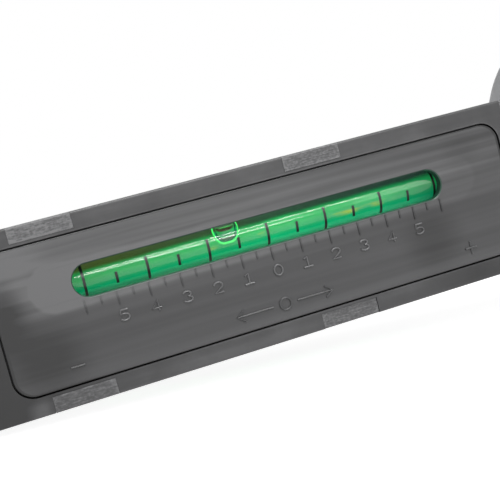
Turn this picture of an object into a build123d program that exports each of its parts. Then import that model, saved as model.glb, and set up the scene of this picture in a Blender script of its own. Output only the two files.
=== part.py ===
from build123d import *
import math
import os

# Magnetic camber and caster gauge: a square moulded case with a level vial behind each of
# three dial plates, and a round pot magnet on its right-hand end.
# Frame: the origin is the centre of the magnet face and +X points out of it, along the case.
# -Y points out of the camber dial and +Z is up as that dial is read. Millimetres.

# Case: a square tube with a rebated opening in each of its four faces
FACE = 45.5
CASE_END_L = 26.75
WALL = 4.1
EDGE_R = 0.6
RIM = 4.75
OPEN_R = 5.2
LIP = 2.0
BORE_R = 1.5

# Dial plates and back cover, let into the openings
PLATE_T = 2.5
GROOVE = 0.4
PLATE_EDGE_R = 0.25
WINDOW_PAST_TICKS = 1.6
WINDOW_H = 8.0
WINDOW_UP = 5.8
WINDOW_CHAMFER = 0.3
BACK_RIB_T = 1.6
BACK_RIB_H = 3.0

# Raised scale: a tick for every half degree of camber and every degree of caster;
# CAMBER_STEP is the length of one degree of camber, and the caster scale is as long
CAMBER_STEP = 8.0
CAMBER_DEGREES = 6
CASTER_DEGREES_BELOW = 4
CASTER_DEGREES_ABOVE = 12
TICK_W = 0.4
TICK_H = 0.25
TICK_LONG = 3.4
TICK_SHORT = 2.0

# Latch keys pressed into the front and back rims
KEY_L = 15.4
KEY_H = 4.0
KEY_T = 2.4
KEY_LEFT_AT = -53.5
KEY_MID_AT = 16.3
KEY_TO_SCREW = 0.4
KEY_PLAY = 0.05
KEY_PROUD = 0.15
KEY_SUNK = 0.4
TENON_L = 9.0
TENON_H = 1.8
TENON_T = 1.2

# Level vials
TUBE_D = 9.6
TUBE_WALL = 1.2
TUBE_HIDDEN_L = 5.4
TUBE_BEHIND_PLATE = 0.4
PLUG_L = 1.5
BUBBLE_D = 4.4
BUBBLE_L = 6.4
CAMBER_READING = -1.1
CASTER_READING = 0.0

# Cradles that carry the vials
CRADLE_W = 13.6
CRADLE_BACK = 1.6
CRADLE_FRONT_GAP = 0.3
CRADLE_END = 2.0
TONGUE_T = 3.0
TONGUE_W = 10.0
BOSS_BEYOND_TUBE = 7.5
BOSS_TO_LIP = 1.25
BOSS_R = 3.5
BOSS_H = 3.0
WASHER_T = 0.5
WASHER_R = 3.2
PIVOT_R = 1.5
PIVOT_HEAD_R = 2.9
PIVOT_HEAD_T = 1.5
PIVOT_BITE = 2.2

# Caster zero knobs: a crank pin on the knob's shaft swings the cradle
KNOB_R = 7.0
KNOB_L = 9.0
KNOB_GAP = 0.4
FLUTES = 20
FLUTE_R = 0.6
SHAFT_R = 2.5
CRANK_R = 5.0
CRANK_T = 3.0
CRANK_THROW = 3.0
CRANK_PIN_R = 1.5
CRANK_PIN_L = 5.0
CRANK_SWING = 60.0
CRANK_FACE_GAP = 0.8
TAIL_L = 5.8
POCKET_SIDE = 0.4
POCKET_END = 0.4
CLIP_T = 0.8
CLIP_R = 4.0
CLIP_GROOVE = 0.5
CLIP_TO_WALL = 0.05
RING_WIRE_R = 0.6

# End cap with the cross level
CAP_T = 4.0
SPIGOT_L = 8.0
SPIGOT_WALL = 2.5
SPIGOT_GAP = 0.2
BEARING_R = 3.8
BEARING_L = 12.0
LEVEL_D = 8.0
LEVEL_WALL = 1.0
LEVEL_L = 28.0
LEVEL_BLOCK_H = 13.0
LEVEL_BLOCK_L = 32.0
LEVEL_SKIN = 0.4
LEVEL_WINDOW_L = 18.0
LEVEL_WINDOW_H = 5.0
LEVEL_PLUG_L = 3.0
LEVEL_BUBBLE_L = 5.0

# Corner screws at both ends of the case
SCREW_R = 1.25
SCREW_INSET = 2.7
SCREW_BITE = 8.5
SCREW_HEAD_R = 2.2
SCREW_HEAD_T = 1.6
SCREW_GAP = 0.1

# Magnetic base
CUP_R = 39.0
CUP_L = 16.0
CUP_FLOOR = 6.0
CUP_RIM = 3.5
CUP_EDGE_R = 1.0
MAGNET_GAP = 0.3
MAGNET_BELOW = 0.8
POLE_R = 13.0
NECK_T = 4.0
NECK_SPIGOT_L = 10.0
CUP_SCREW_R = 2.0
CUP_SCREW_HEAD_R = 3.5
CUP_SCREW_HEAD_T = 2.4
CUP_SCREW_BITE = 9.0
CUP_BOSS_R = 3.6
CUP_SCREW_CIRCLE = 19.0

# Spring-loaded centring pin
BUSH_WALL = 2.4
PIN_R = 5.0
PIN_OUT = 3.0
PIN_CONE = 7.0
PIN_NOSE_R = 1.0
COLLAR_R = 8.4
COLLAR_T = 2.0
STOP_GAP = 0.2
TAIL_R = 3.0
PIN_TAIL_OUT = 3.0
SPRING_TUBE_R = 9.0
SPRING_TUBE_WALL = 2.5
SPRING_FLOOR = 3.0
SPRING_SPARE = 0.7
SPRING_WIRE_R = 0.45
SPRING_TURNS = 8
SPRING_R = 5.6

# Clearances: a running fit, and the play of one fixed piece in another
RUN = 0.05
PLAY = 0.15
# How far a cutter runs past the face that it cuts
PAST = 1.0

# Places worked out from the sizes above
HALF = FACE / 2
CAMBER_SCALE_L = 2 * CAMBER_DEGREES * CAMBER_STEP
CASTER_STEP = CAMBER_SCALE_L / (CASTER_DEGREES_BELOW + CASTER_DEGREES_ABOVE)
CASTER_MIDDLE = (CASTER_DEGREES_ABOVE - CASTER_DEGREES_BELOW) / 2
WINDOW_L = CAMBER_SCALE_L + 2 * WINDOW_PAST_TICKS
TUBE_L = WINDOW_L + 2 * TUBE_HIDDEN_L
BOSS_X = TUBE_L / 2 + BOSS_BEYOND_TUBE
OPEN_L = 2 * (BOSS_X + BOSS_R + BOSS_TO_LIP + LIP)
CASE_L = OPEN_L + 2 * CASE_END_L
CUP_BACK_X = -CUP_L
CASE_R_X = CUP_BACK_X - NECK_T
ZERO_X = CASE_R_X - CASE_L / 2
CASE_L_X = CASE_R_X - CASE_L
KEY_RIGHT_X = CASE_R_X - SCREW_BITE - KEY_TO_SCREW - KEY_L / 2
OPEN_H = FACE - 2 * RIM
PLATE_BACK_Y = -HALF + PLATE_T
WINDOW_LOW_Z = WINDOW_UP - WINDOW_H / 2
TUBE_Y = PLATE_BACK_Y + TUBE_BEHIND_PLATE + TUBE_D / 2
TUBE_BORE_R = TUBE_D / 2 - TUBE_WALL
CRADLE_FRONT_Y = PLATE_BACK_Y + CRADLE_FRONT_GAP
CRADLE_BACK_Y = TUBE_Y + TUBE_D / 2 + PLAY + CRADLE_BACK
CRADLE_HALF_L = TUBE_L / 2 + PLAY + CRADLE_END
TONGUE_Y = PLATE_BACK_Y + BOSS_H + WASHER_T
KNOB_Y = -HALF + WALL + CLIP_R + CLIP_TO_WALL
CAP_OUT_X = CASE_L_X - CAP_T
TAIL_END_X = ZERO_X - CRADLE_HALF_L - TAIL_L
CRANK_X = TAIL_END_X - CRANK_FACE_GAP
LEVEL_X = CASE_L_X + LEVEL_SKIN + LEVEL_D / 2
SCREW_AT = HALF - SCREW_INSET
SPIGOT_HALF = HALF - WALL - SPIGOT_GAP
CUP_FLOOR_X = CUP_BACK_X + CUP_FLOOR
BUSH_R = PIN_R + RUN + BUSH_WALL
COLLAR_X = CUP_BACK_X - STOP_GAP
SPRING_SEAT_X = COLLAR_X - COLLAR_T
PIN_TRAVEL = PIN_OUT + PIN_CONE
SPRING_ROOM = PIN_TRAVEL + 2 * SPRING_WIRE_R * (SPRING_TURNS + 1) + SPRING_SPARE
SPRING_FLOOR_X = SPRING_SEAT_X - SPRING_ROOM
TURNED = {"front": 0, "upper": -90, "back": 180, "lower": 90}
FLOAT_TO = {"front": (0, 1), "upper": (-1, 0), "lower": (1, 0)}


def block(x0, x1, y0, y1, z0, z1):
    """A box between two corners."""
    centre = Pos((x0 + x1) / 2, (y0 + y1) / 2, (z0 + z1) / 2)
    return centre * Box(abs(x1 - x0), abs(y1 - y0), abs(z1 - z0))


def rod(radius, x0, x1, y=0.0, z=0.0):
    """A round bar along X."""
    return Pos((x0 + x1) / 2, y, z) * Rot(0, 90, 0) * Cylinder(radius, abs(x1 - x0))


def post(radius, y0, y1, x, z):
    """A round bar along Y."""
    return Pos(x, (y0 + y1) / 2, z) * Rot(90, 0, 0) * Cylinder(radius, abs(y1 - y0))


def slab(outline, y0, y1, x, z):
    """A flat outline in the face's plane, given a thickness from y0 to y1."""
    plane = Plane(origin=(x, y0, z), x_dir=(1, 0, 0), z_dir=(0, 1, 0))
    return extrude(plane * outline, amount=y1 - y0)


def group(solids):
    """Separate solids in one node."""
    return Compound(children=[s.solid() for s in solids])


def on_face(shape, face):
    """Turn a piece made for the front face round to another face of the case."""
    return Rot(TURNED[face], 0, 0) * shape


def corners(reach):
    """The four corner places (y, z) of the square case."""
    return [(sy * reach, sz * reach) for sy in (-1, 1) for sz in (-1, 1)]


# ---- case, plates and keys ----

def key_block(x, side, depth, step, play):
    """One latch key's block in the front rim, on the upper (+1) or lower (-1) rail."""
    half = KEY_L / 2 + play
    z_in = side * (HALF - KEY_H - play)
    return block(x - half, x + half, -HALF - step, -HALF + depth + play, z_in, side * HALF)


def key_tenon(x, side, play):
    """The tenon behind a latch key."""
    half = TENON_L / 2 + play
    mid = side * (HALF - KEY_H / 2)
    z0 = mid - TENON_H / 2 - play
    z1 = mid + TENON_H / 2 + play
    return block(x - half, x + half, -HALF + KEY_T - play, -HALF + KEY_T + TENON_T + play, z0, z1)


def key_places():
    """Every key in the front rims: place along the case, rail, and how far it stands out."""
    left, middle = ZERO_X + KEY_LEFT_AT, ZERO_X + KEY_MID_AT
    upper = [(left, 1, 0), (middle, 1, KEY_PROUD), (KEY_RIGHT_X, 1, 0)]
    return upper + [(left, -1, 0), (middle, -1, -KEY_SUNK), (KEY_RIGHT_X, -1, 0)]


def latch_keys(face):
    """The six keys of one face, each a rectangular pad with a tenon behind it."""
    keys = []
    for x, side, step in key_places():
        key = key_block(x, side, KEY_T, step, 0)
        outer = key.edges().filter_by(Axis.X).sort_by(Axis.Y)[:2].sort_by(Axis.Z)
        key = fillet(outer[-1 if side > 0 else 0], EDGE_R)
        key += key_tenon(x, side, 0)
        keys.append(on_face(key, face))
    return group(keys)


def case_shell():
    """The case: a square tube with four rebated openings, key notches and screw holes."""
    shell = block(CASE_L_X, CASE_R_X, -HALF, HALF, -HALF, HALF)
    shell = fillet(shell.edges().filter_by(Axis.X), EDGE_R)
    inner = HALF - WALL
    bore = block(CASE_L_X, CASE_R_X, -inner, inner, -inner, inner)
    shell -= fillet(bore.edges().filter_by(Axis.X), BORE_R)
    rebate = slab(RectangleRounded(OPEN_L, OPEN_H, OPEN_R), -HALF - PAST, PLATE_BACK_Y, ZERO_X, 0)
    through = RectangleRounded(OPEN_L - 2 * LIP, OPEN_H - 2 * LIP, OPEN_R - LIP)
    opening = rebate + slab(through, PLATE_BACK_Y, -HALF + WALL + PAST, ZERO_X, 0)
    notches = []
    for x, side, step in key_places():
        notches += [key_block(x, side, KEY_T, PAST, KEY_PLAY), key_tenon(x, side, KEY_PLAY)]
    for face in TURNED:
        shell -= on_face(opening, face)
    for face in ("front", "back"):
        shell -= [on_face(notch, face) for notch in notches]
    for y, z in corners(SCREW_AT):
        shell -= rod(SCREW_R, CASE_L_X, CASE_L_X + SCREW_BITE + PLAY, y, z)
        shell -= rod(SCREW_R, CASE_R_X - SCREW_BITE - PLAY, CASE_R_X, y, z)
    return shell


def plain_plate():
    """The plate that fills one opening, with its front edge rounded."""
    outline = RectangleRounded(OPEN_L - 2 * GROOVE, OPEN_H - 2 * GROOVE, OPEN_R - GROOVE)
    plate = slab(outline, -HALF, PLATE_BACK_Y, ZERO_X, 0)
    return fillet(plate.edges().group_by(Axis.Y)[0], PLATE_EDGE_R)


def tick(at, length):
    """One raised tick, from the window's lower edge down."""
    x0 = ZERO_X + at - TICK_W / 2
    z0 = WINDOW_LOW_Z - WINDOW_CHAMFER - length
    return block(x0, x0 + TICK_W, -HALF - TICK_H, -HALF + TICK_H, z0, z0 + length)


def camber_ticks():
    """A long tick for each degree and a short one for each half degree."""
    ticks = []
    for half in range(-2 * CAMBER_DEGREES, 2 * CAMBER_DEGREES + 1):
        length = TICK_SHORT if half % 2 else TICK_LONG
        ticks.append(tick(half * CAMBER_STEP / 2, length))
    return ticks


def caster_ticks():
    """A tick for each degree, long ones at the even degrees."""
    ticks = []
    for degree in range(-CASTER_DEGREES_BELOW, CASTER_DEGREES_ABOVE + 1):
        length = TICK_SHORT if degree % 2 else TICK_LONG
        ticks.append(tick((degree - CASTER_MIDDLE) * CASTER_STEP, length))
    return ticks


def on_window_rim(edge):
    """Whether an edge of the plate's face goes round the window."""
    place = edge.center()
    return abs(place.Z - WINDOW_UP) <= WINDOW_H / 2 and abs(place.X - ZERO_X) <= WINDOW_L / 2


def dial_plate(ticks, boss_places):
    """A plate with the vial window, the raised scale and the bosses that carry the cradle."""
    plate = plain_plate()
    sight = SlotOverall(WINDOW_L, WINDOW_H)
    plate -= slab(sight, -HALF - PAST, PLATE_BACK_Y + PAST, ZERO_X, WINDOW_UP)
    front_edges = plate.edges().group_by(Axis.Y)[0]
    plate = chamfer(front_edges.filter_by(on_window_rim), WINDOW_CHAMFER)
    plate += ticks
    for x in boss_places:
        plate += post(BOSS_R, PLATE_BACK_Y, PLATE_BACK_Y + BOSS_H, ZERO_X + x, WINDOW_UP)
        hole_y = PLATE_BACK_Y + BOSS_H - PIVOT_BITE - PLAY
        plate -= post(PIVOT_R, hole_y, PLATE_BACK_Y + BOSS_H, ZERO_X + x, WINDOW_UP)
    return plate


def back_cover():
    """The plain plate of the back face, stiffened by two ribs inside."""
    cover = plain_plate()
    rib_l = OPEN_L - 4 * LIP
    for z in (-OPEN_H / 4, OPEN_H / 4):
        cover += block(ZERO_X - rib_l / 2, ZERO_X + rib_l / 2, PLATE_BACK_Y,
                       PLATE_BACK_Y + BACK_RIB_H, z - BACK_RIB_T / 2, z + BACK_RIB_T / 2)
    return on_face(cover, "back")


# ---- vials and cradles, made for the front face ----

def vial_tube():
    """The clear tube of a vial."""
    x0, x1 = ZERO_X - TUBE_L / 2, ZERO_X + TUBE_L / 2
    return rod(TUBE_D / 2, x0, x1, TUBE_Y, WINDOW_UP) - rod(TUBE_BORE_R, x0, x1, TUBE_Y, WINDOW_UP)


def vial_liquid(bubble_at, face):
    """The liquid between the plugs, with the bubble as a hollow on the side that faces +Z."""
    half = TUBE_L / 2 - PLUG_L
    radius = TUBE_BORE_R - RUN
    liquid = rod(radius, ZERO_X - half, ZERO_X + half, TUBE_Y, WINDOW_UP)
    bubble_r = BUBBLE_D / 2
    reach = BUBBLE_L / 2 - bubble_r
    up_y, up_z = FLOAT_TO[face]
    float_r = radius - bubble_r + PLAY
    y = TUBE_Y + up_y * float_r
    z = WINDOW_UP + up_z * float_r
    x = ZERO_X + bubble_at
    bubble = rod(bubble_r, x - reach, x + reach, y, z)
    bubble += [Pos(x + end * reach, y, z) * Sphere(bubble_r) for end in (-1, 1)]
    return liquid - bubble


def vial_plugs():
    """The two plugs that close the tube."""
    plugs = []
    for end in (-1, 1):
        outer = ZERO_X + end * TUBE_L / 2
        plugs.append(rod(TUBE_BORE_R - RUN, outer, outer - end * PLUG_L, TUBE_Y, WINDOW_UP))
    return plugs


def tongue(end):
    """The flat eye at one end of a cradle that sits on a boss of the plate."""
    root_x = ZERO_X + end * (CRADLE_HALF_L - CRADLE_END)
    eye_x = ZERO_X + end * BOSS_X
    y1 = TONGUE_Y + TONGUE_T
    flat = block(root_x, eye_x, TONGUE_Y, y1, WINDOW_UP - TONGUE_W / 2, WINDOW_UP + TONGUE_W / 2)
    flat += post(TONGUE_W / 2, TONGUE_Y, y1, eye_x, WINDOW_UP)
    return flat - post(PIVOT_R + RUN, TONGUE_Y, y1, eye_x, WINDOW_UP)


def trough():
    """The open trough of a cradle, which holds the tube between two end walls."""
    z0, z1 = WINDOW_UP - CRADLE_W / 2, WINDOW_UP + CRADLE_W / 2
    body = block(ZERO_X - CRADLE_HALF_L, ZERO_X + CRADLE_HALF_L, CRADLE_FRONT_Y, CRADLE_BACK_Y, z0, z1)
    groove_r = TUBE_D / 2 + PLAY
    groove_l = TUBE_L / 2 + PLAY
    body -= rod(groove_r, ZERO_X - groove_l, ZERO_X + groove_l, TUBE_Y, WINDOW_UP)
    body -= block(ZERO_X - groove_l, ZERO_X + groove_l, CRADLE_FRONT_Y, TUBE_Y,
                  WINDOW_UP - groove_r, WINDOW_UP + groove_r)
    return body


def camber_cradle():
    """The fixed cradle, screwed to a boss at each end."""
    return trough() + tongue(-1) + tongue(1)


def caster_cradle():
    """The tilting cradle: an eye on the pivot at one end, a slotted tail at the other."""
    z0, z1 = WINDOW_UP - CRADLE_W / 2, WINDOW_UP + CRADLE_W / 2
    tail = block(TAIL_END_X, ZERO_X - CRADLE_HALF_L, CRADLE_FRONT_Y, CRADLE_BACK_Y, z0, z1)
    slot_z = CRANK_PIN_R + POCKET_SIDE
    rise = CRANK_THROW * math.cos(math.radians(CRANK_SWING))
    y0 = KNOB_Y + rise - CRANK_PIN_R - POCKET_END
    y1 = KNOB_Y + CRANK_THROW + CRANK_PIN_R + POCKET_END
    pocket_x = CRANK_X + CRANK_PIN_L + POCKET_END
    tail -= block(TAIL_END_X, pocket_x, y0, y1, WINDOW_UP - slot_z, WINDOW_UP + slot_z)
    return trough() + tail + tongue(1)


def boss_washer(end):
    """The washer or pad between a boss and the eye on it."""
    x = ZERO_X + end * BOSS_X
    y1 = PLATE_BACK_Y + BOSS_H + WASHER_T
    ring = post(WASHER_R, PLATE_BACK_Y + BOSS_H, y1, x, WINDOW_UP)
    return ring - post(PIVOT_R + RUN, PLATE_BACK_Y + BOSS_H, y1, x, WINDOW_UP)


def boss_screw(end):
    """The shouldered screw that holds an eye on its boss."""
    x = ZERO_X + end * BOSS_X
    head_y = TONGUE_Y + TONGUE_T + STOP_GAP
    shank = post(PIVOT_R - RUN / 5, PLATE_BACK_Y + BOSS_H - PIVOT_BITE, head_y, x, WINDOW_UP)
    head = post(PIVOT_HEAD_R, head_y, head_y + PIVOT_HEAD_T, x, WINDOW_UP)
    slot_l = PIVOT_HEAD_R + PAST
    slot = block(x - slot_l, x + slot_l, head_y + PIVOT_HEAD_T / 2, head_y + PIVOT_HEAD_T,
                 WINDOW_UP - PIVOT_R / 4, WINDOW_UP + PIVOT_R / 4)
    return shank + head - slot


# ---- caster zero knobs ----

def zero_knob():
    """A fluted knob, its shaft through the end cap, and the crank pin that swings the cradle."""
    x1 = CAP_OUT_X - KNOB_GAP
    head = rod(KNOB_R, x1 - KNOB_L, x1, KNOB_Y, WINDOW_UP)
    head = chamfer(head.edges(), FLUTE_R)
    flutes = []
    for i in range(FLUTES):
        turn = 2 * math.pi * i / FLUTES
        y = KNOB_Y + KNOB_R * math.cos(turn)
        z = WINDOW_UP + KNOB_R * math.sin(turn)
        flutes.append(rod(FLUTE_R, x1 - KNOB_L, x1, y, z))
    head -= flutes
    knob = head + rod(SHAFT_R, x1, CRANK_X - CRANK_T, KNOB_Y, WINDOW_UP)
    clip_x = CASE_L_X + BEARING_L + STOP_GAP
    groove = rod(SHAFT_R, clip_x, clip_x + CLIP_T, KNOB_Y, WINDOW_UP)
    knob -= groove - rod(SHAFT_R - CLIP_GROOVE, clip_x, clip_x + CLIP_T, KNOB_Y, WINDOW_UP)
    knob += rod(CRANK_R, CRANK_X - CRANK_T, CRANK_X, KNOB_Y, WINDOW_UP)
    return knob + rod(CRANK_PIN_R, CRANK_X, CRANK_X + CRANK_PIN_L, KNOB_Y + CRANK_THROW, WINDOW_UP)


def knob_clip():
    """The open ring that keeps the shaft in the end cap."""
    x0 = CASE_L_X + BEARING_L + STOP_GAP
    bore = SHAFT_R - CLIP_GROOVE + RUN
    ring = rod(CLIP_R, x0, x0 + CLIP_T, KNOB_Y, WINDOW_UP) - rod(bore, x0, x0 + CLIP_T, KNOB_Y, WINDOW_UP)
    mouth = bore * 0.8
    return ring - block(x0, x0 + CLIP_T, KNOB_Y, KNOB_Y + CLIP_R + PAST, WINDOW_UP - mouth, WINDOW_UP + mouth)


def knob_ring():
    """The rubber ring round the shaft, in its counterbore under the knob."""
    x = CAP_OUT_X + RING_WIRE_R + RUN
    radius = SHAFT_R + RUN + RING_WIRE_R
    return Pos(x, KNOB_Y, WINDOW_UP) * Rot(0, 90, 0) * Torus(radius, RING_WIRE_R)


# ---- left end ----

def corner_screws(face_x, side):
    """Four screws through an end piece into the case; side is -1 at the left and 1 at the right."""
    screws = []
    for y, z in corners(SCREW_AT):
        head_x = face_x - side * SCREW_HEAD_T
        end_x = (CASE_L_X if side < 0 else CASE_R_X) - side * SCREW_BITE
        screw = rod(SCREW_R - RUN, end_x, head_x, y, z) + rod(SCREW_HEAD_R, head_x, face_x, y, z)
        slot_x = face_x - side * SCREW_HEAD_T / 2
        slot_h = SCREW_HEAD_R / 8
        screw -= block(slot_x, face_x, y - SCREW_HEAD_R, y + SCREW_HEAD_R, z - slot_h, z + slot_h)
        screws.append(screw)
    return screws


def screw_holes(face_x, side):
    """The clearance holes and head seats for the corner screws in an end piece."""
    holes = []
    for y, z in corners(SCREW_AT):
        end_x = CASE_L_X if side < 0 else CASE_R_X
        seat_x = face_x - side * SCREW_HEAD_T
        holes.append(rod(SCREW_R + SCREW_GAP, end_x, face_x, y, z))
        holes.append(rod(SCREW_HEAD_R + SCREW_GAP, seat_x, face_x, y, z))
    return holes


def square_frame(x0, x1, outer, wall):
    """A square spigot with the given outer half width."""
    ring = block(x0, x1, -outer, outer, -outer, outer)
    ring = fillet(ring.edges().filter_by(Axis.X), BORE_R)
    inner = outer - wall
    return ring - block(x0, x1, -inner, inner, -inner, inner)


def end_cap():
    """The left end cap: spigot, two knob bearings and the block that holds the cross level."""
    cap = block(CAP_OUT_X, CASE_L_X, -HALF, HALF, -HALF, HALF)
    cap = fillet(cap.edges().filter_by(Axis.X), EDGE_R)
    cap += square_frame(CASE_L_X, CASE_L_X + SPIGOT_L, SPIGOT_HALF, SPIGOT_WALL)
    block_x1 = LEVEL_X + LEVEL_D / 2 + PLAY + LEVEL_WALL
    half_l, half_h = LEVEL_BLOCK_L / 2, LEVEL_BLOCK_H / 2
    cap += block(CASE_L_X, block_x1, -half_l, half_l, -half_h, half_h)
    for face in ("upper", "lower"):
        bearing = rod(BEARING_R, CASE_L_X, CASE_L_X + BEARING_L, KNOB_Y, WINDOW_UP)
        cap += on_face(bearing, face)
        bore = rod(SHAFT_R + RUN, CAP_OUT_X, CASE_L_X + BEARING_L, KNOB_Y, WINDOW_UP)
        seat_r = SHAFT_R + 2 * RING_WIRE_R + 3 * RUN
        seat = rod(seat_r, CAP_OUT_X, CAP_OUT_X + 2 * (RING_WIRE_R + RUN), KNOB_Y, WINDOW_UP)
        cap -= [on_face(bore, face), on_face(seat, face)]
    cap -= post(LEVEL_D / 2 + RUN, -half_l, half_l, LEVEL_X, 0)
    sight = Plane(origin=(CAP_OUT_X, 0, 0), x_dir=(0, 1, 0), z_dir=(1, 0, 0))
    cap -= extrude(sight * SlotOverall(LEVEL_WINDOW_L, LEVEL_WINDOW_H), amount=LEVEL_X - CAP_OUT_X)
    return cap - screw_holes(CAP_OUT_X, -1)


def level_tube():
    """The clear tube of the cross level."""
    outer = post(LEVEL_D / 2, -LEVEL_L / 2, LEVEL_L / 2, LEVEL_X, 0)
    return outer - post(LEVEL_D / 2 - LEVEL_WALL, -LEVEL_L / 2, LEVEL_L / 2, LEVEL_X, 0)


def level_liquid():
    """The liquid of the cross level, with its bubble as a hollow at the top."""
    half = LEVEL_L / 2 - LEVEL_PLUG_L
    radius = LEVEL_D / 2 - LEVEL_WALL - RUN
    liquid = post(radius, -half, half, LEVEL_X, 0)
    bubble_r = radius / 2
    reach = LEVEL_BUBBLE_L / 2 - bubble_r
    z = radius - bubble_r + PLAY
    bubble = post(bubble_r, -reach, reach, LEVEL_X, z)
    bubble += [Pos(LEVEL_X, end * reach, z) * Sphere(bubble_r) for end in (-1, 1)]
    return liquid - bubble


def level_plugs():
    """The two plugs of the cross level."""
    radius = LEVEL_D / 2 - LEVEL_WALL - RUN
    ends = [end * LEVEL_L / 2 for end in (-1, 1)]
    return [post(radius, y, y - math.copysign(LEVEL_PLUG_L, y), LEVEL_X, 0) for y in ends]


# ---- magnetic base ----

def base_neck():
    """The block between case and magnet cup, with the spring's tube in its middle."""
    neck = block(CASE_R_X, CUP_BACK_X, -HALF, HALF, -HALF, HALF)
    neck = fillet(neck.edges().filter_by(Axis.X), EDGE_R)
    neck += square_frame(CASE_R_X - NECK_SPIGOT_L, CASE_R_X, SPIGOT_HALF, SPIGOT_WALL)
    floor_x = SPRING_FLOOR_X - SPRING_FLOOR
    neck += rod(SPRING_TUBE_R + SPRING_TUBE_WALL, floor_x, CASE_R_X)
    neck -= rod(SPRING_TUBE_R, SPRING_FLOOR_X, CUP_BACK_X)
    neck -= rod(TAIL_R + RUN, floor_x, SPRING_FLOOR_X)
    for y, z in cup_screw_places():
        neck += rod(CUP_BOSS_R, CASE_R_X - NECK_SPIGOT_L, CASE_R_X, y, z)
        neck -= rod(CUP_SCREW_R, CUP_BACK_X - CUP_SCREW_BITE - PLAY, CUP_BACK_X, y, z)
    return neck - screw_holes(CUP_BACK_X, 1)


def cup_screw_places():
    """Four places on a circle, in line with the corners of the case."""
    turns = [math.radians(45 + 90 * i) for i in range(4)]
    return [(CUP_SCREW_CIRCLE * math.cos(t), CUP_SCREW_CIRCLE * math.sin(t)) for t in turns]


def magnet_cup():
    """The round steel cup; its rim is one pole of the magnet."""
    cup = rod(CUP_R, CUP_BACK_X, 0)
    cup = fillet(cup.edges().filter_by(GeomType.CIRCLE), CUP_EDGE_R)
    cup -= rod(CUP_R - CUP_RIM, CUP_FLOOR_X, 0)
    cup -= rod(BUSH_R + RUN, CUP_BACK_X, CUP_FLOOR_X)
    for y, z in cup_screw_places():
        cup -= rod(CUP_SCREW_R + SCREW_GAP, CUP_BACK_X, CUP_FLOOR_X, y, z)
        cup -= rod(CUP_SCREW_HEAD_R + SCREW_GAP, CUP_FLOOR_X - CUP_SCREW_HEAD_T, CUP_FLOOR_X, y, z)
    return cup


def cup_screws():
    """Four screws that hold the cup to the neck, sunk under the magnet."""
    screws = []
    for y, z in cup_screw_places():
        head_x = CUP_FLOOR_X - CUP_SCREW_HEAD_T
        screw = rod(CUP_SCREW_R - RUN, CUP_BACK_X - CUP_SCREW_BITE, head_x, y, z)
        screw += rod(CUP_SCREW_HEAD_R, head_x, CUP_FLOOR_X, y, z)
        slot = CUP_SCREW_HEAD_R / 7
        screw -= block(CUP_FLOOR_X - CUP_SCREW_HEAD_T / 2, CUP_FLOOR_X,
                       y - CUP_SCREW_HEAD_R, y + CUP_SCREW_HEAD_R, z - slot, z + slot)
        screws.append(screw)
    return screws


def ring_magnet():
    """The ferrite ring, a little below the poles."""
    ring = rod(CUP_R - CUP_RIM - MAGNET_GAP, CUP_FLOOR_X, -MAGNET_BELOW)
    return ring - rod(POLE_R + MAGNET_GAP, CUP_FLOOR_X, -MAGNET_BELOW)


def inner_pole():
    """The steel ring in the middle, the magnet's other pole."""
    return rod(POLE_R, CUP_FLOOR_X, 0) - rod(BUSH_R + RUN, CUP_FLOOR_X, 0)


def pin_bush():
    """The brass bush that guides the centring pin."""
    return rod(BUSH_R, CUP_BACK_X, 0) - rod(PIN_R + RUN, CUP_BACK_X, 0)


def centring_pin():
    """The pin: a blunt cone, the shank, a stop collar and a thinner tail."""
    tip_x = PIN_OUT + PIN_CONE
    end_x = SPRING_FLOOR_X - SPRING_FLOOR - PIN_TAIL_OUT
    profile = Polyline(
        (end_x, 0), (end_x, TAIL_R), (SPRING_SEAT_X, TAIL_R), (SPRING_SEAT_X, COLLAR_R),
        (COLLAR_X, COLLAR_R), (COLLAR_X, PIN_R), (PIN_OUT, PIN_R), (tip_x, PIN_NOSE_R),
        (tip_x, 0), close=True)
    return revolve(make_face(profile), Axis.X)


def arc_middle(start, corner, end):
    """The middle point of the arc that leaves start and reaches end, both tangent to corner."""
    chord_mid = (start + end) / 2
    half_chord = (end - start).length / 2
    rise = (corner - chord_mid).length
    if math.isclose(rise, 0, abs_tol=RUN / 1000):
        return chord_mid
    turn = math.atan2(rise, half_chord)
    return chord_mid + (corner - chord_mid) * (half_chord * math.tan(turn / 2) / rise)


def coil(x0, x1, radius, turns):
    """A helix along X as tangent arcs, two for each quarter turn."""
    pitch = (x1 - x0) / turns
    tangent_x = pitch / (2 * math.pi)
    edges = []
    for i in range(4 * turns):
        ends = []
        for k in (i, i + 1):
            turn = k * math.pi / 2
            place = Vector(x0 + pitch * k / 4, radius * math.cos(turn), radius * math.sin(turn))
            along = Vector(tangent_x, -radius * math.sin(turn), radius * math.cos(turn)).normalized()
            ends.append((place, along))
        (p0, t0), (p1, t1) = ends
        gap = p1 - p0
        swing = 1 - t0.dot(t1)
        ahead = gap.dot(t0 + t1)
        reach = (-ahead + math.sqrt(ahead ** 2 + 2 * swing * gap.dot(gap))) / (2 * swing)
        corner0 = p0 + t0 * reach
        corner1 = p1 - t1 * reach
        joint = (corner0 + corner1) / 2
        edges.append(Edge.make_three_point_arc(p0, arc_middle(p0, corner0, joint), joint))
        edges.append(Edge.make_three_point_arc(joint, arc_middle(joint, corner1, p1), p1))
    return Wire(edges)


def pin_spring():
    """The compression spring between the collar and the floor of its tube."""
    path = coil(SPRING_FLOOR_X + SPRING_WIRE_R, SPRING_SEAT_X - SPRING_WIRE_R, SPRING_R, SPRING_TURNS)
    wire = Plane(origin=path @ 0, z_dir=path % 0) * Circle(SPRING_WIRE_R)
    pitch = (SPRING_ROOM - 2 * SPRING_WIRE_R) / SPRING_TURNS
    print("spring gap between turns", round(pitch - 2 * SPRING_WIRE_R, 2))
    return sweep(wire, path=path)


# ---- every node ----

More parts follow.
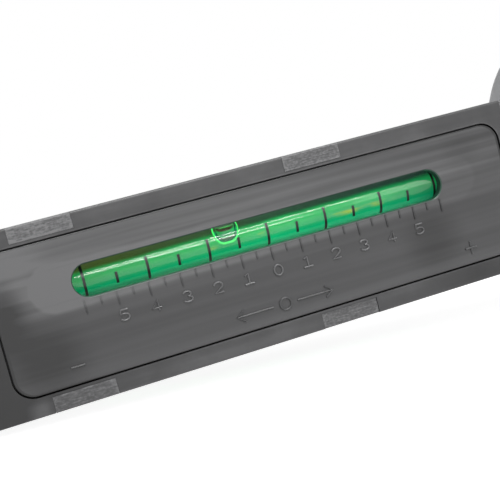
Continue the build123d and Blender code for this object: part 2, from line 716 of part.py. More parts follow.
def caster_set(face):
    """The pieces of one caster vial, turned to its face."""
    bubble_at = (CASTER_READING - CASTER_MIDDLE) * CASTER_STEP
    pieces = {
        "caster_dial_plate": dial_plate(caster_ticks(), [BOSS_X]),
        "caster_vial_tube": vial_tube(),
        "caster_vial_liquid": vial_liquid(bubble_at, face),
        "caster_vial_plugs": group(vial_plugs()),
        "caster_cradle": caster_cradle(),
        "caster_pivot_washer": boss_washer(1),
        "caster_pivot_screw": boss_screw(1),
        "caster_zero_knob": zero_knob(),
        "caster_knob_clip": knob_clip(),
        "caster_knob_ring": knob_ring(),
    }
    return {f"{face}_{name}": on_face(piece, face) for name, piece in pieces.items()}


NODES = {
    "case_shell": case_shell(),
    "camber_dial_plate": dial_plate(camber_ticks(), [-BOSS_X, BOSS_X]),
    "camber_vial_tube": vial_tube(),
    "camber_vial_liquid": vial_liquid(CAMBER_READING * CAMBER_STEP, "front"),
    "camber_vial_plugs": group(vial_plugs()),
    "camber_cradle": camber_cradle(),
    "camber_levelling_pads": group([boss_washer(-1), boss_washer(1)]),
    "camber_levelling_screws": group([boss_screw(-1), boss_screw(1)]),
    "back_cover": back_cover(),
    "front_latch_keys": latch_keys("front"),
    "back_latch_keys": latch_keys("back"),
    "end_cap": end_cap(),
    "end_cap_screws": group(corner_screws(CAP_OUT_X, -1)),
    "cross_level_tube": level_tube(),
    "cross_level_liquid": level_liquid(),
    "cross_level_plugs": group(level_plugs()),
    "base_neck": base_neck(),
    "neck_screws": group(corner_screws(CUP_BACK_X, 1)),
    "magnet_cup": magnet_cup(),
    "cup_screws": group(cup_screws()),
    "ring_magnet": ring_magnet(),
    "inner_pole": inner_pole(),
    "pin_bush": pin_bush(),
    "centring_pin": centring_pin(),
    "pin_spring": pin_spring(),
    **caster_set("upper"),
    **caster_set("lower"),
}

os.makedirs("parts", exist_ok=True)
for name, shape in NODES.items():
    export_step(shape, f"parts/{name}.step")
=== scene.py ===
import math

import bmesh
import bpy
import numpy as np
from mathutils import Matrix, Vector


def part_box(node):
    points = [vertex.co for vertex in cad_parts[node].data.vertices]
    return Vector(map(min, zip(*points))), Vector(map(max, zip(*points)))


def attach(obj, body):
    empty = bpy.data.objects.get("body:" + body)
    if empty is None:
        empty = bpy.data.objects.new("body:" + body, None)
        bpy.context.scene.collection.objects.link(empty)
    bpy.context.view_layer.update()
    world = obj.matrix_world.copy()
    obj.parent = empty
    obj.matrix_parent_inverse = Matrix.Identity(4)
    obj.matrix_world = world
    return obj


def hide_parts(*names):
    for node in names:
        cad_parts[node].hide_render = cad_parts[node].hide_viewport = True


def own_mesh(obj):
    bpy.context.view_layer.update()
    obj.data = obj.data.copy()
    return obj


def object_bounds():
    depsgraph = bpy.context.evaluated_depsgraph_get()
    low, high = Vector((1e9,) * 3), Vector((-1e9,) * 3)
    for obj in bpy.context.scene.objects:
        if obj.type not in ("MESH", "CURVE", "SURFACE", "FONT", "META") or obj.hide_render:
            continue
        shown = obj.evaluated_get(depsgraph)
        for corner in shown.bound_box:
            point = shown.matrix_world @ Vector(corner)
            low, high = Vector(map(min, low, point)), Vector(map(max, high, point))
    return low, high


# Camber and caster gauge, dressed round its CAD frame. Lengths are metres; MM turns a size in
# millimetres into them. The magnet face is the plane X = 0, -Y points out of the camber dial
# and +Z is up as that dial is read.
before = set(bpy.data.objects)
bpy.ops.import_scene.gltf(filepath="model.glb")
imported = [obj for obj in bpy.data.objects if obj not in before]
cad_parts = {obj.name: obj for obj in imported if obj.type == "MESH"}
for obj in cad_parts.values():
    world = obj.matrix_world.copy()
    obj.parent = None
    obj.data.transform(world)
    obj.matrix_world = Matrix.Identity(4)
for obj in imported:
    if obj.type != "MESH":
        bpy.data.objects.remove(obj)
cad_low, cad_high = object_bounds()
MM = 0.001


# ---- Case, end cap and neck -------------------------------------------------------------
# A square case with an end cap pushed in at the left and a neck piece at the magnet end.
# All three are moulded in the same dark grey ABS with a soft satin skin. The plastic's flow
# shows as faint streaks along the case, and painted highlights make its edges pale.
CASE_DULL, CASE_DARK, CASE_GREY, CASE_PALE = "#060607", "#232324", "#313132", "#444445"
ABS_IOR, CASE_ROUGHNESS = 1.53, 0.46
FLOW_LENGTH, FLOW_WIDTH, SMEAR_SIZE = 55 * MM, 3.2 * MM, 9 * MM
# The grain is drawn coarser than the mould's own, which would be too fine to show.
GRAIN_SIZE, GRAIN_DEPTH = 0.22 * MM, 0.012 * MM
OPENING_R, SEAM = 5.2 * MM, 0.4 * MM
QUARTER_TURNS = {"camber": 0, "upper_caster": -1, "back": 2, "lower_caster": 1}
case_low, case_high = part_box("case_shell")
plate_low, plate_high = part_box("camber_dial_plate")
face_y, half_case = case_low.y, case_high.z
zero_x = (case_low.x + case_high.x) / 2
plate_l, plate_h = plate_high.x - plate_low.x, plate_high.z - plate_low.z

# Smooth changes of the colour's level: where each starts and ends, and what it gives there.
# The last two make the lower seam paler, but not at its left end.
# The first two are painted highlights on the edges round the openings and outside, the next two
# painted shade on the walls in the seams.
SEAM_HIGHLIGHT = (0.15 * MM, 0.5 * MM, 0.14, 0.0)
EDGE_HIGHLIGHT = (half_case - 0.8 * MM, half_case - 0.4 * MM, 0.0, 0.16)
SEAM_SHADE = (0.02 * MM, 0.1 * MM, -0.5, 0.0)
BELOW_FACE = (half_case - 0.35 * MM, half_case - 0.1 * MM, 1.0, 0.0)
LOW_SEAM = (-19 * MM, -12 * MM, -0.8, 0.0)
PAST_LEFT_END = (-58 * MM, -44 * MM, 0.0, 1.0)
# Patches: millimetres along and up the dial, reach in millimetres, and change of level.
RIM_PATCHES = ((-10, -20.5, 30, 0.12), (54, -20.5, 20, -0.35))
DULL_CORNER, DULL_REACH, CASE_DULLED = (-190 * MM, -22 * MM, -15 * MM), 38 * MM, -0.8
SCUFF_PLACE, SCUFF_REACH, SCUFF_LIFT = (-180.5 * MM, -22.7 * MM, -21.6 * MM), 6 * MM, 0.9


def linear(hex_colour):
    """An sRGB hex colour as linear red, green, blue and an alpha of one."""
    parts = [int(hex_colour[i:i + 2], 16) / 255 for i in (1, 3, 5)]
    return [c / 12.92 if c <= 0.04045 else ((c + 0.055) / 1.055) ** 2.4 for c in parts] + [1.0]


def join(tree, node, inputs):
    """Sets each value on the node's socket of that name. An output is linked to it instead,
    and a node stands for its first open output."""
    for key, value in inputs.items():
        if isinstance(value, bpy.types.Node):
            value = next(output for output in value.outputs if output.enabled)
        if isinstance(value, bpy.types.NodeSocket):
            tree.links.new(value, node.inputs[key])
        else:
            node.inputs[key].default_value = value


def add(tree, kind, inputs=None, stops=(), **settings):
    """Adds one node with its settings, its links and, on a colour ramp, its stops, which are
    pairs of place and hex colour. The new node is returned."""
    node = tree.nodes.new(kind)
    for key, value in settings.items():
        setattr(node, key, value)
    for _ in stops[2:]:
        node.color_ramp.elements.new(0.5)
    for i, (place, colour) in enumerate(stops):
        element = node.color_ramp.elements[i]
        element.position, element.color = place, linear(colour)
    join(tree, node, inputs or {})
    return node


def material(name, **surface):
    """A material with one Principled surface, whose even values are set on its sockets."""
    made = bpy.data.materials.new(name)
    made.use_nodes = True
    tree = made.node_tree
    shader = tree.nodes["Principled BSDF"]
    join(tree, shader, {key.replace("_", " "): value for key, value in surface.items()})
    return made, tree, shader


def total(tree, start, *terms):
    """The start with each term added to it. A term is a factor, or a list of factors that are
    multiplied. A factor is a number, a node or output, or a pair of one and a smooth change:
    where the change starts and ends, and what it gives there. A start of zero needs no node."""
    for term in terms:
        product = None
        for factor in term if isinstance(term, list) else [term]:
            if isinstance(factor, tuple):
                ends = zip(("From Min", "From Max", "To Min", "To Max"), factor[1])
                factor = add(tree, "ShaderNodeMapRange", {"Value": factor[0], **dict(ends)},
                             interpolation_type="SMOOTHSTEP")
            product = factor if product is None else add(
                tree, "ShaderNodeMath", {0: product, 1: factor}, operation="MULTIPLY")
        start = add(tree, "ShaderNodeMath", {0: start, 1: product}) if start else product
    return start


def stretched_noise(tree, lengths, detail=3.0, turn=(0, 0, 0)):
    """Noise whose cells have the given lengths along X, Y and Z of the object, turned."""
    place = add(tree, "ShaderNodeTexCoord").outputs["Object"]
    scaled = add(tree, "ShaderNodeMapping", {"Vector": place, "Rotation": turn,
                                             "Scale": [1 / length for length in lengths]})
    return add(tree, "ShaderNodeTexNoise", {"Vector": scaled, "Scale": 1.0, "Detail": detail})


def grained(tree, shader, size, depth):
    """Gives the surface a fine moulded grain, from noise of that size and depth."""
    fine = stretched_noise(tree, (size,) * 3, detail=2.0)
    join(tree, shader, {"Normal": add(tree, "ShaderNodeBump", {"Height": fine, "Strength": 1.0,
                                                               "Distance": depth})})


def round_case(points, side):
    """Points made for the camber side, turned about X by quarter turns to another side."""
    turn = QUARTER_TURNS[side] * math.pi / 2
    c, s = round(math.cos(turn)), round(math.sin(turn))
    x, y, z = np.moveaxis(np.asarray(points, float), -1, 0)
    return np.stack([x, y * c - z * s, y * s + z * c], axis=-1)


def patch(tree, place, middle, reach, change):
    """A soft round patch about a point: the change at its middle, and none beyond its reach."""
    far = add(tree, "ShaderNodeVectorMath", {0: place, 1: middle}, operation="DISTANCE")
    return add(tree, "ShaderNodeMapRange", {"Value": far, "From Max": reach, "To Min": change,
                                            "To Max": 0.0}, interpolation_type="SMOOTHERSTEP")


def dial_patches(tree, place, rows, side="camber"):
    """The patches of one side's face, from their rows."""
    return [patch(tree, place, round_case((zero_x + x * MM, face_y, z * MM), side).tolist(),
                  reach * MM, change) for x, z, reach, change in rows]


def outside(tree, x, up, length, height, corner):
    """How far a place lies outside a rounded oblong; below zero inside it."""
    place = add(tree, "ShaderNodeCombineXYZ", {"X": x, "Y": up})
    size = add(tree, "ShaderNodeVectorMath", {0: place}, operation="ABSOLUTE")
    core = (length / 2 - corner, height / 2 - corner, 0)
    past = add(tree, "ShaderNodeVectorMath", {0: size, 1: core}, operation="SUBTRACT")
    beyond = add(tree, "ShaderNodeVectorMath", {0: past, 1: (0, 0, 0)}, operation="MAXIMUM")
    away = add(tree, "ShaderNodeVectorMath", {0: beyond}, operation="LENGTH")
    return total(tree, -corner, away)


def case_abs():
    """Moulded ABS: streaks of flow, broad smears where hands have rubbed it, painted highlights on
    the outer edges and round the openings, painted shade on the walls in the seams, and a dull
    corner at the lower left with a scuff in it."""
    made, tree, shader = material("moulded_abs_case", IOR=ABS_IOR, Roughness=CASE_ROUGHNESS)
    place = add(tree, "ShaderNodeTexCoord").outputs["Object"]
    size = add(tree, "ShaderNodeVectorMath", {0: place}, operation="ABSOLUTE")
    at, sizes = (add(tree, "ShaderNodeSeparateXYZ", {0: value}).outputs
                 for value in (place, size))
    along = total(tree, -zero_x, at["X"])
    across, out = (add(tree, "ShaderNodeMath", {0: sizes["Y"], 1: sizes["Z"]}, operation=pick)
                   for pick in ("MINIMUM", "MAXIMUM"))
    off_opening = outside(tree, along, across, plate_l + 2 * SEAM, plate_h + 2 * SEAM, OPENING_R)
    paler = total(tree, 1.0, [(at["Z"], LOW_SEAM), (along, PAST_LEFT_END)])
    shade = total(
        tree, 0.0,
        [stretched_noise(tree, (FLOW_LENGTH, FLOW_WIDTH, FLOW_WIDTH)), 0.5],
        [stretched_noise(tree, (SMEAR_SIZE,) * 3, detail=4.0), 0.5],
        (off_opening, SEAM_HIGHLIGHT), (across, EDGE_HIGHLIGHT),
        [(off_opening, SEAM_SHADE), (out, BELOW_FACE), paler],
        patch(tree, place, DULL_CORNER, DULL_REACH, CASE_DULLED),
        patch(tree, place, SCUFF_PLACE, SCUFF_REACH, SCUFF_LIFT),
        *dial_patches(tree, place, RIM_PATCHES))
    ramp = add(tree, "ShaderNodeValToRGB", {"Fac": shade},
               stops=((0.0, CASE_DULL), (0.3, CASE_DARK), (0.5, CASE_GREY), (0.7, CASE_PALE)))
    join(tree, shader, {"Base Color": ramp})
    grained(tree, shader, GRAIN_SIZE, GRAIN_DEPTH)
    return made


def dress(finish, *node_names):
    """CAD pieces keep their meshes and take a finish."""
    for node_name in node_names:
        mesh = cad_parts[node_name].data
        mesh.materials.clear()
        mesh.materials.append(finish)


dress(case_abs(), "case_shell", "end_cap", "base_neck")


# ---- Dial plates and back cover ---------------------------------------------------------
# Three dial plates and a plain back cover, snapped into the openings of the case. Each is
# moulded ABS a shade paler than the case, with soft flow streaks along it, a paler bloom round
# the window and a few darker or paler patches.
PLATE_PATCH, PLATE_DARK, PLATE_MID, PLATE_PALE = "#080809", "#303031", "#434344", "#5c5c5d"
# The window's wall takes this green as painted light from the vial.
WINDOW_WALL_GREEN_LIGHT = "#17402f"
PLATE_ROUGHNESS = 0.42
STREAK_LENGTH, STREAK_WIDTH, CLOUD_SIZE = 88 * MM, 2.2 * MM, 16 * MM
BLOOM_L, BLOOM_H, BLOOM_WANDER = 119 * MM, 11.6 * MM, 1.2 * MM
WINDOW_L, WINDOW_H = 99.2 * MM, 8 * MM
# The painted shade along the plate's edge reaches half this further in at each end.
END_SHADE_REACH = 0.7 * MM
# Raised ticks above this height are darkened with painted shade.
TICK_FOOT_UP, TICK_SHADE = -2.5 * MM, -0.25
PLATE_LEVEL = 0.3  # of the colour, where nothing below changes it
PLATE_PATCHES = ((-60, -10.5, 15, -0.32), (43.5, -8.5, 13, -0.28), (-68, 0, 11, -0.35),
                 (57, 12, 8, -0.1), (-63, 13, 13, 0.25), (-67, 5, 9, -0.55))
tube_low, tube_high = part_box("camber_vial_tube")
tube_y, tube_up = (tube_low.y + tube_high.y) / 2, (tube_low.z + tube_high.z) / 2
tube_r = (tube_high.z - tube_low.z) / 2

# Smooth changes, as for the case, along and up the dial or out of its face.
STREAK_GAIN = (-4 * MM, 8 * MM, 0.35, 1.0)
BLOOM_GAIN = (-BLOOM_L / 2, BLOOM_L / 2, 0.32, 0.08)
BLOOM_EDGE = (-0.65 * MM, 0.65 * MM, 1.0, 0.0)
ABOVE_MIDDLE = (-1.5 * MM, 1.5 * MM, 0.0, 1.0)
LEFT_TO_RIGHT = (-BLOOM_L / 2, BLOOM_L / 2, 0.33, 0.1)
# A painted highlight along the plate's lower edge.
FOOT_HIGHLIGHT = (-16 * MM, -12 * MM, 0.1, 0.0)
LOW_EDGE = (-17 * MM, -12 * MM, -0.8, 0.0)
# Painted shade along the plate's edge at the seam, paler along the low edge except at its left
# end.
PLATE_EDGE_SHADE = (-0.5 * MM, -0.15 * MM, 0.0, -0.6)
# Painted highlights on the tops of the raised signs and numbers, stronger on the numbers.
SIGN_TO_NUMBER_HIGHLIGHT = (-11 * MM, -8 * MM, 0.15, 0.6)
RAISED = (half_case + 0.04 * MM, half_case + 0.2 * MM, 0.0, 1.0)
# Painted green light from the vial on the window's wall.
WINDOW_WALL = (0.34 * MM, 0.44 * MM, 1.0, 0.0)
BEHIND_FACE = (half_case - 0.15 * MM, half_case - 0.02 * MM, 1.0, 0.0)


def plate_abs(side):
    """Moulded ABS of one plate: flow streaks, a bloom round the window (the back cover has none)
    and a few dull or pale patches. Painted shade darkens the ticks and the plate's edge at the
    seam, painted highlights make the raised numbers, signs and lower edge pale, and the window's
    wall is painted with the green light of the vial."""
    made, tree, shader = material(f"moulded_abs_plate_{side}", IOR=ABS_IOR,
                                  Roughness=PLATE_ROUGHNESS)
    place = add(tree, "ShaderNodeTexCoord").outputs["Object"]
    along = total(tree, -zero_x, add(tree, "ShaderNodeSeparateXYZ", {0: place}).outputs["X"])
    up, out = (add(tree, "ShaderNodeVectorMath", {0: place, 1: round_case(way, side).tolist()},
                   operation="DOT_PRODUCT") for way in ((0, 0, 1), (0, -1, 0)))
    off = total(tree, -tube_up, up)
    flow = stretched_noise(tree, (STREAK_LENGTH, STREAK_WIDTH, STREAK_WIDTH), detail=2.0)
    cloud = stretched_noise(tree, (CLOUD_SIZE,) * 3)
    off_bloom = total(tree, outside(tree, along, off, BLOOM_L, BLOOM_H, BLOOM_H / 2),
                      [total(tree, -0.5, cloud), 2 * BLOOM_WANDER])
    off_plate = outside(tree, along, up, plate_l - END_SHADE_REACH, plate_h, OPENING_R - SEAM)
    off_window = outside(tree, along, off, WINDOW_L, WINDOW_H, WINDOW_H / 2)
    paler = total(tree, 1.0, [(up, LOW_EDGE), (along, PAST_LEFT_END)])
    # Raised marks get a painted highlight below the ticks and painted shade on the ticks.
    raised_highlight = total(tree, 0.0, (up, SIGN_TO_NUMBER_HIGHLIGHT))
    mark = (TICK_FOOT_UP - 0.1 * MM, TICK_FOOT_UP + 0.1 * MM, raised_highlight, TICK_SHADE)
    shade = total(
        tree, PLATE_LEVEL,
        [total(tree, -0.5, flow), (up, STREAK_GAIN)],
        [float(side != "back"), (along, BLOOM_GAIN), (off_bloom, BLOOM_EDGE)],
        [(up, ABOVE_MIDDLE), (along, LEFT_TO_RIGHT)],
        (up, FOOT_HIGHLIGHT), [paler, (off_plate, PLATE_EDGE_SHADE)], [(up, mark), (out, RAISED)],
        *dial_patches(tree, place, PLATE_PATCHES, side))
    ramp = add(tree, "ShaderNodeValToRGB", {"Fac": shade}, stops=(
        (0.0, PLATE_PATCH), (0.28, PLATE_DARK), (0.5, PLATE_MID), (0.85, PLATE_PALE)))
    # The window's wall is painted with the vial's green light.
    green_light_on_wall = total(tree, 0.0, [(off_window, WINDOW_WALL), (out, BEHIND_FACE)])
    colour = add(tree, "ShaderNodeMix", {"Factor": green_light_on_wall, "A": ramp,
                                         "B": linear(WINDOW_WALL_GREEN_LIGHT)}, data_type="RGBA")
    join(tree, shader, {"Base Color": colour})
    grained(tree, shader, GRAIN_SIZE, GRAIN_DEPTH)
    return made


plate_finish = {side: plate_abs(side) for side in QUARTER_TURNS}
for side, finish in plate_finish.items():
    dress(finish, "back_cover" if side == "back" else f"{side}_dial_plate")


# ---- Raised numbers and signs -----------------------------------------------------------
# The degree numbers stand up from the dial plates as thin rounded ridges, moulded with the
# plate. A minus and a plus mark the ends, and a double arrow with a degree ring the middle.
NUMBER_SIZE, NUMBER_PITCH = np.array([2.2 * MM, 2.6 * MM]), 2.97 * MM
NUMBER_SHIFT, NUMBER_FOOT_UP = 0.4 * MM, -6 * MM
RIDGE_WIDTH, RIDGE_SUNK = 0.52 * MM, 0.1 * MM
CAMBER_RIDGE, CASTER_RIDGE = 0.42 * MM, 0.2 * MM
CAMBER_STEP, CASTER_STEP = 8 * MM, 6 * MM
SIGN_UP, SIGN_AT, SIGN_HALF = -13.4 * MM, 53.5 * MM, 1.7 * MM
ARROW_FROM, ARROW_TO, ARROW_BACK, ARROW_BARB = 3.3 * MM, 13 * MM, 2 * MM, 1.4 * MM
RING_R = 1.5 * MM
SHARP = math.radians(40)


def skinned(name, bodies, closed=False):
    """One mesh from several stacks of rings. Neighbouring rings are joined by quads, and each
    ring closes on itself. The first and last ring are capped, or joined if the stack is closed,
    as it also is where its last ring lies on its first."""
    points, faces, start = [], [], 0
    for rings in bodies:
        meets = np.allclose(rings[0], rings[-1], atol=1e-9)
        rings, around = rings[:-1] if meets else rings, closed or meets
        rows, columns = rings.shape[:2]
        index = start + np.arange(rows * columns).reshape(rows, columns)
        below = index if around else index[:-1]
        above = np.roll(index, -1, axis=0) if around else index[1:]
        corners = [below, np.roll(below, -1, axis=1), np.roll(above, -1, axis=1), above]
        faces += np.stack(corners, axis=-1).reshape(-1, 4).tolist()
        if not around:
            faces += [index[0, ::-1].tolist(), index[-1].tolist()]
        points.append(rings.reshape(-1, 3))
        start += rows * columns
    mesh = bpy.data.meshes.new(name)
    mesh.from_pydata(np.concatenate(points).tolist(), [], faces)
    clean = bmesh.new()
    clean.from_mesh(mesh)
    bmesh.ops.remove_doubles(clean, verts=clean.verts, dist=1e-7)
    bmesh.ops.recalc_face_normals(clean, faces=clean.faces)
    clean.to_mesh(mesh)
    clean.free()
    mesh.shade_smooth()
    mesh.set_sharp_from_angle(angle=SHARP)
    return mesh


def add_piece(mesh, finish, body, slot, *stands_for):
    """Puts a mesh in the scene as a piece that rides on a body, with its finish. The slot is not
    used.
    """
    piece = bpy.data.objects.new(mesh.name, mesh)
    bpy.context.scene.collection.objects.link(piece)
    mesh.materials.append(finish)
    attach(piece, body)
    if stands_for:
        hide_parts(*stands_for)
    return piece


def arc(x, y, rx, ry, start, end, count=9):
    """Points on an ellipse's arc about (x, y), between two angles in degrees."""
    turn = np.radians(np.linspace(start, end, count))
    return np.stack([x + rx * np.cos(turn), y + ry * np.sin(turn)], axis=1)


def line(*points):
    """Straight strokes through the given points."""
    return np.array(points, float)


NUMBER_STROKES = {
    "0": [arc(0.5, 0.5, 0.5, 0.5, 90, 450, 25)],
    "1": [line((0.12, 0.82), (0.5, 1), (0.5, 0)), line((-0.05, 0), (1.05, 0))],
    "2": [np.concatenate([arc(0.5, 0.7, 0.5, 0.3, 170, -40), line((0, 0), (1, 0))])],
    "3": [np.concatenate([arc(0.47, 0.75, 0.45, 0.25, 160, -80),
                          arc(0.47, 0.26, 0.53, 0.26, 80, -160)])],
    "4": [line((1, 0.28), (0, 0.28), (0.7, 1), (0.7, 0))],
    "5": [np.concatenate([line((0.95, 1), (0.12, 1), (0.06, 0.56)),
                          arc(0.45, 0.32, 0.55, 0.32, 110, -150)])],
    "6": [np.concatenate([arc(0.62, 0.5, 0.62, 0.5, 75, 180),
                          arc(0.5, 0.3, 0.5, 0.3, 180, 520, 21)])],
    "8": [arc(0.5, 0.76, 0.42, 0.24, -90, 270, 17), arc(0.5, 0.26, 0.5, 0.26, 90, 450, 17)],
}


def ridge(path, height):
    """A rounded ridge along a flat path: at each point a half ellipse stands across the path's
    direction, from the sunken foot on one side over the top to the other side."""
    ahead = np.gradient(path, axis=0)
    if np.allclose(path[0], path[-1]):
        ahead[0] = ahead[-1] = path[1] - path[-2]
    ahead /= np.linalg.norm(ahead, axis=1, keepdims=True)
    across = np.stack([-ahead[:, 1], ahead[:, 0]], axis=1)
    turn = np.linspace(0, math.pi, 7)
    side = RIDGE_WIDTH / 2 * np.cos(turn)
    side = np.concatenate([side, [side[-1], side[0]]])
    lift = np.concatenate([height * np.sin(turn), [-RIDGE_SUNK, -RIDGE_SUNK]])
    flat = path[:, None, :] + across[:, None, :] * side[None, :, None]
    depth = np.broadcast_to(face_y - lift, flat.shape[:2])
    return np.stack([zero_x + flat[..., 0], depth, flat[..., 1]], axis=-1)


def number(text, along):
    """The strokes of a number, centred on its tick."""
    first = along + NUMBER_SHIFT - (NUMBER_PITCH * (len(text) - 1) + NUMBER_SIZE[0]) / 2
    return [stroke * NUMBER_SIZE + [first + i * NUMBER_PITCH, NUMBER_FOOT_UP]
            for i, digit in enumerate(text) for stroke in NUMBER_STROKES[digit]]


signs = [arc(0, SIGN_UP, RING_R, RING_R, 0, 360, 25),
         line((SIGN_AT, SIGN_UP - SIGN_HALF), (SIGN_AT, SIGN_UP + SIGN_HALF))]
for way in (-1, 1):
    tip, back = way * ARROW_TO, way * (ARROW_TO - ARROW_BACK)
    signs += [line((way * SIGN_AT - SIGN_HALF, SIGN_UP), (way * SIGN_AT + SIGN_HALF, SIGN_UP)),
              line((way * ARROW_FROM, SIGN_UP), (tip, SIGN_UP)),
              line((back, SIGN_UP + ARROW_BARB), (tip, SIGN_UP), (back, SIGN_UP - ARROW_BARB))]
camber_numbers = [(str(abs(d)), d * CAMBER_STEP) for d in range(-5, 6)]
caster_numbers = [(str(abs(d)), (d - 4) * CASTER_STEP) for d in range(-4, 13, 2)]
for side, numbers, height in (("camber", camber_numbers, CAMBER_RIDGE),
                              ("upper_caster", caster_numbers, CASTER_RIDGE),
                              ("lower_caster", caster_numbers, CASTER_RIDGE)):
    paths = [stroke for text, along in numbers for stroke in number(text, along)]
    ridges = [round_case(ridge(path, height), side) for path in paths + signs]
    add_piece(skinned(f"{side}_raised_numbers", ridges), plate_finish[side], "case", "dial_abs")


# ---- Latch keys -------------------------------------------------------------------------
# Rectangular keys pressed into the front and back rims hold the case together. They are the
# same ABS, scuffed pale by the tool that pressed them in, so they look dusty and scratched.
KEY_DARK, KEY_MID, KEY_PALE = "#39393a", "#4e4e4f", "#6b6b6c"
KEY_L, KEY_H, KEY_CORNER = 15.4 * MM, 4 * MM, 1.99 * MM
KEY_ROUGHNESS = 0.58
SCRATCH_SIZE, SCRATCH_SLANT, SCRATCH_DEPTH = (3 * MM, MM, 0.28 * MM), 5, 0.06 * MM
SPECKLE_SIZE = (0.7 * MM, 0.7 * MM, 0.5 * MM)
KEY_RUB = (-0.7 * MM, -0.1 * MM, 0.0, 0.1)
KEY_PATCHES = ((-54, 20.6, 14, 0.08),)
KEY_DULLED = -0.12
keys_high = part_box("front_latch_keys")[1]
KEYS_AT = (-53.5 * MM, 16.3 * MM, keys_high.x - KEY_L / 2 - zero_x)


def key_abs():
    """Scuffed ABS: fine scratches along each key over a speckled ground, a pale rubbed frame
    round its border, and duller in the case's dull corner."""
    made, tree, shader = material("scuffed_abs_keys", IOR=ABS_IOR, Roughness=KEY_ROUGHNESS)
    place = add(tree, "ShaderNodeTexCoord").outputs["Object"]
    at = add(tree, "ShaderNodeSeparateXYZ", {0: place}).outputs
    slant = (0, math.radians(SCRATCH_SLANT), 0)
    rough = total(tree, 0.0, [stretched_noise(tree, SCRATCH_SIZE, turn=slant), 0.5],
                  [stretched_noise(tree, SPECKLE_SIZE, detail=2.0), 0.5])
    nearest = 1.0
    for key_at in KEYS_AT:
        off = add(tree, "ShaderNodeMath", {0: total(tree, -zero_x - key_at, at["X"])},
                  operation="ABSOLUTE")
        nearest = add(tree, "ShaderNodeMath", {0: off, 1: nearest}, operation="MINIMUM")
    height = add(tree, "ShaderNodeMath", {0: at["Z"]}, operation="ABSOLUTE")
    off_key = outside(tree, nearest, total(tree, KEY_H / 2 - half_case, height), KEY_L, KEY_H,
                      KEY_CORNER)
    shade = total(tree, rough, (off_key, KEY_RUB),
                  patch(tree, place, DULL_CORNER, DULL_REACH, KEY_DULLED),
                  *dial_patches(tree, place, KEY_PATCHES))
    ramp = add(tree, "ShaderNodeValToRGB", {"Fac": shade},
               stops=((0.34, KEY_DARK), (0.5, KEY_MID), (0.66, KEY_PALE)))
    bump = add(tree, "ShaderNodeBump", {"Height": rough, "Strength": 1.0,
                                        "Distance": SCRATCH_DEPTH})
    join(tree, shader, {"Base Color": ramp, "Normal": bump})
    return made


dress(key_abs(), "front_latch_keys", "back_latch_keys")


# ---- Cradles, pads and washers ----------------------------------------------------------
# Each vial lies in an open trough. The troughs are moulded in off-white ABS; the glow of the
# liquid in front of them is painted light. Soft rubber pads and nylon washers lie under their
# eyes.
CRADLE_WHITE, CRADLE_FLOW = "#dcdfd8", "#d2d6cd"
NYLON, NYLON_DULL = "#e4e1d8", "#d8d4c8"
RUBBER, RUBBER_DUST = "#1c1c1d", "#272728"
WASHER_BORE_R, WASHER_ROOM, WASHER_EDGE_R = 1.55 * MM, 0.02 * MM, 0.1 * MM
TURN_STEPS = 72


def mottled(name, lengths, dark, pale, grain=None, **surface):
    """A material whose colour wanders softly between two hex colours, in cells of the given
    lengths along X, Y and Z, with a grain of a size and depth where one is given."""
    made, tree, shader = material(name, **surface)
    ramp = add(tree, "ShaderNodeValToRGB", {"Fac": stretched_noise(tree, lengths, detail=4.0)},
               stops=((0.35, dark), (0.65, pale)))
    join(tree, shader, {"Base Color": ramp})
    if grain:
        grained(tree, shader, *grain)
    return made


def turned(profile, y=0.0, z=0.0, steps=TURN_STEPS):
    """Rings about the line along X through (y, z): for each (x, radius) of the profile, the
    circle of that radius at that x."""
    turn = np.linspace(0, 2 * math.pi, steps, endpoint=False)
    x, radius = np.asarray(profile, float).T[:, :, None]
    return np.stack([x + 0 * turn, y + radius * np.cos(turn), z + radius * np.sin(turn)], -1)


def eased(points, radius, steps=5):
    """A profile whose inner corners are rounded: near each corner the path follows the curve
    (1-t)^2 a + 2t(1-t) b + t^2 c through two points at that distance from the corner."""
    points = np.asarray(points, float)
    out = [points[:1]]
    t = np.linspace(0, 1, steps)[:, None]
    for before, corner, after in zip(points, points[1:], points[2:]):
        back, ahead = before - corner, after - corner
        reach = min(radius, np.linalg.norm(back) / 2, np.linalg.norm(ahead) / 2)
        a = corner + back / np.linalg.norm(back) * reach
        c = corner + ahead / np.linalg.norm(ahead) * reach
        out.append((1 - t) ** 2 * a + 2 * t * (1 - t) * corner + t ** 2 * c)
    return np.concatenate(out + [points[-1:]])


def oblong(x0, x1, r0, r1):
    """The section of a plain ring, as corners of (x, radius)."""
    return [(x0, r0), (x0, r1), (x1, r1), (x1, r0)]


def spun(corners, ease, steps=TURN_STEPS):
    """Rings of a ring-shaped piece: its section is closed, eased and spun about the X axis."""
    return turned(eased([*corners, *corners[:2]], ease)[1:-1], steps=steps)


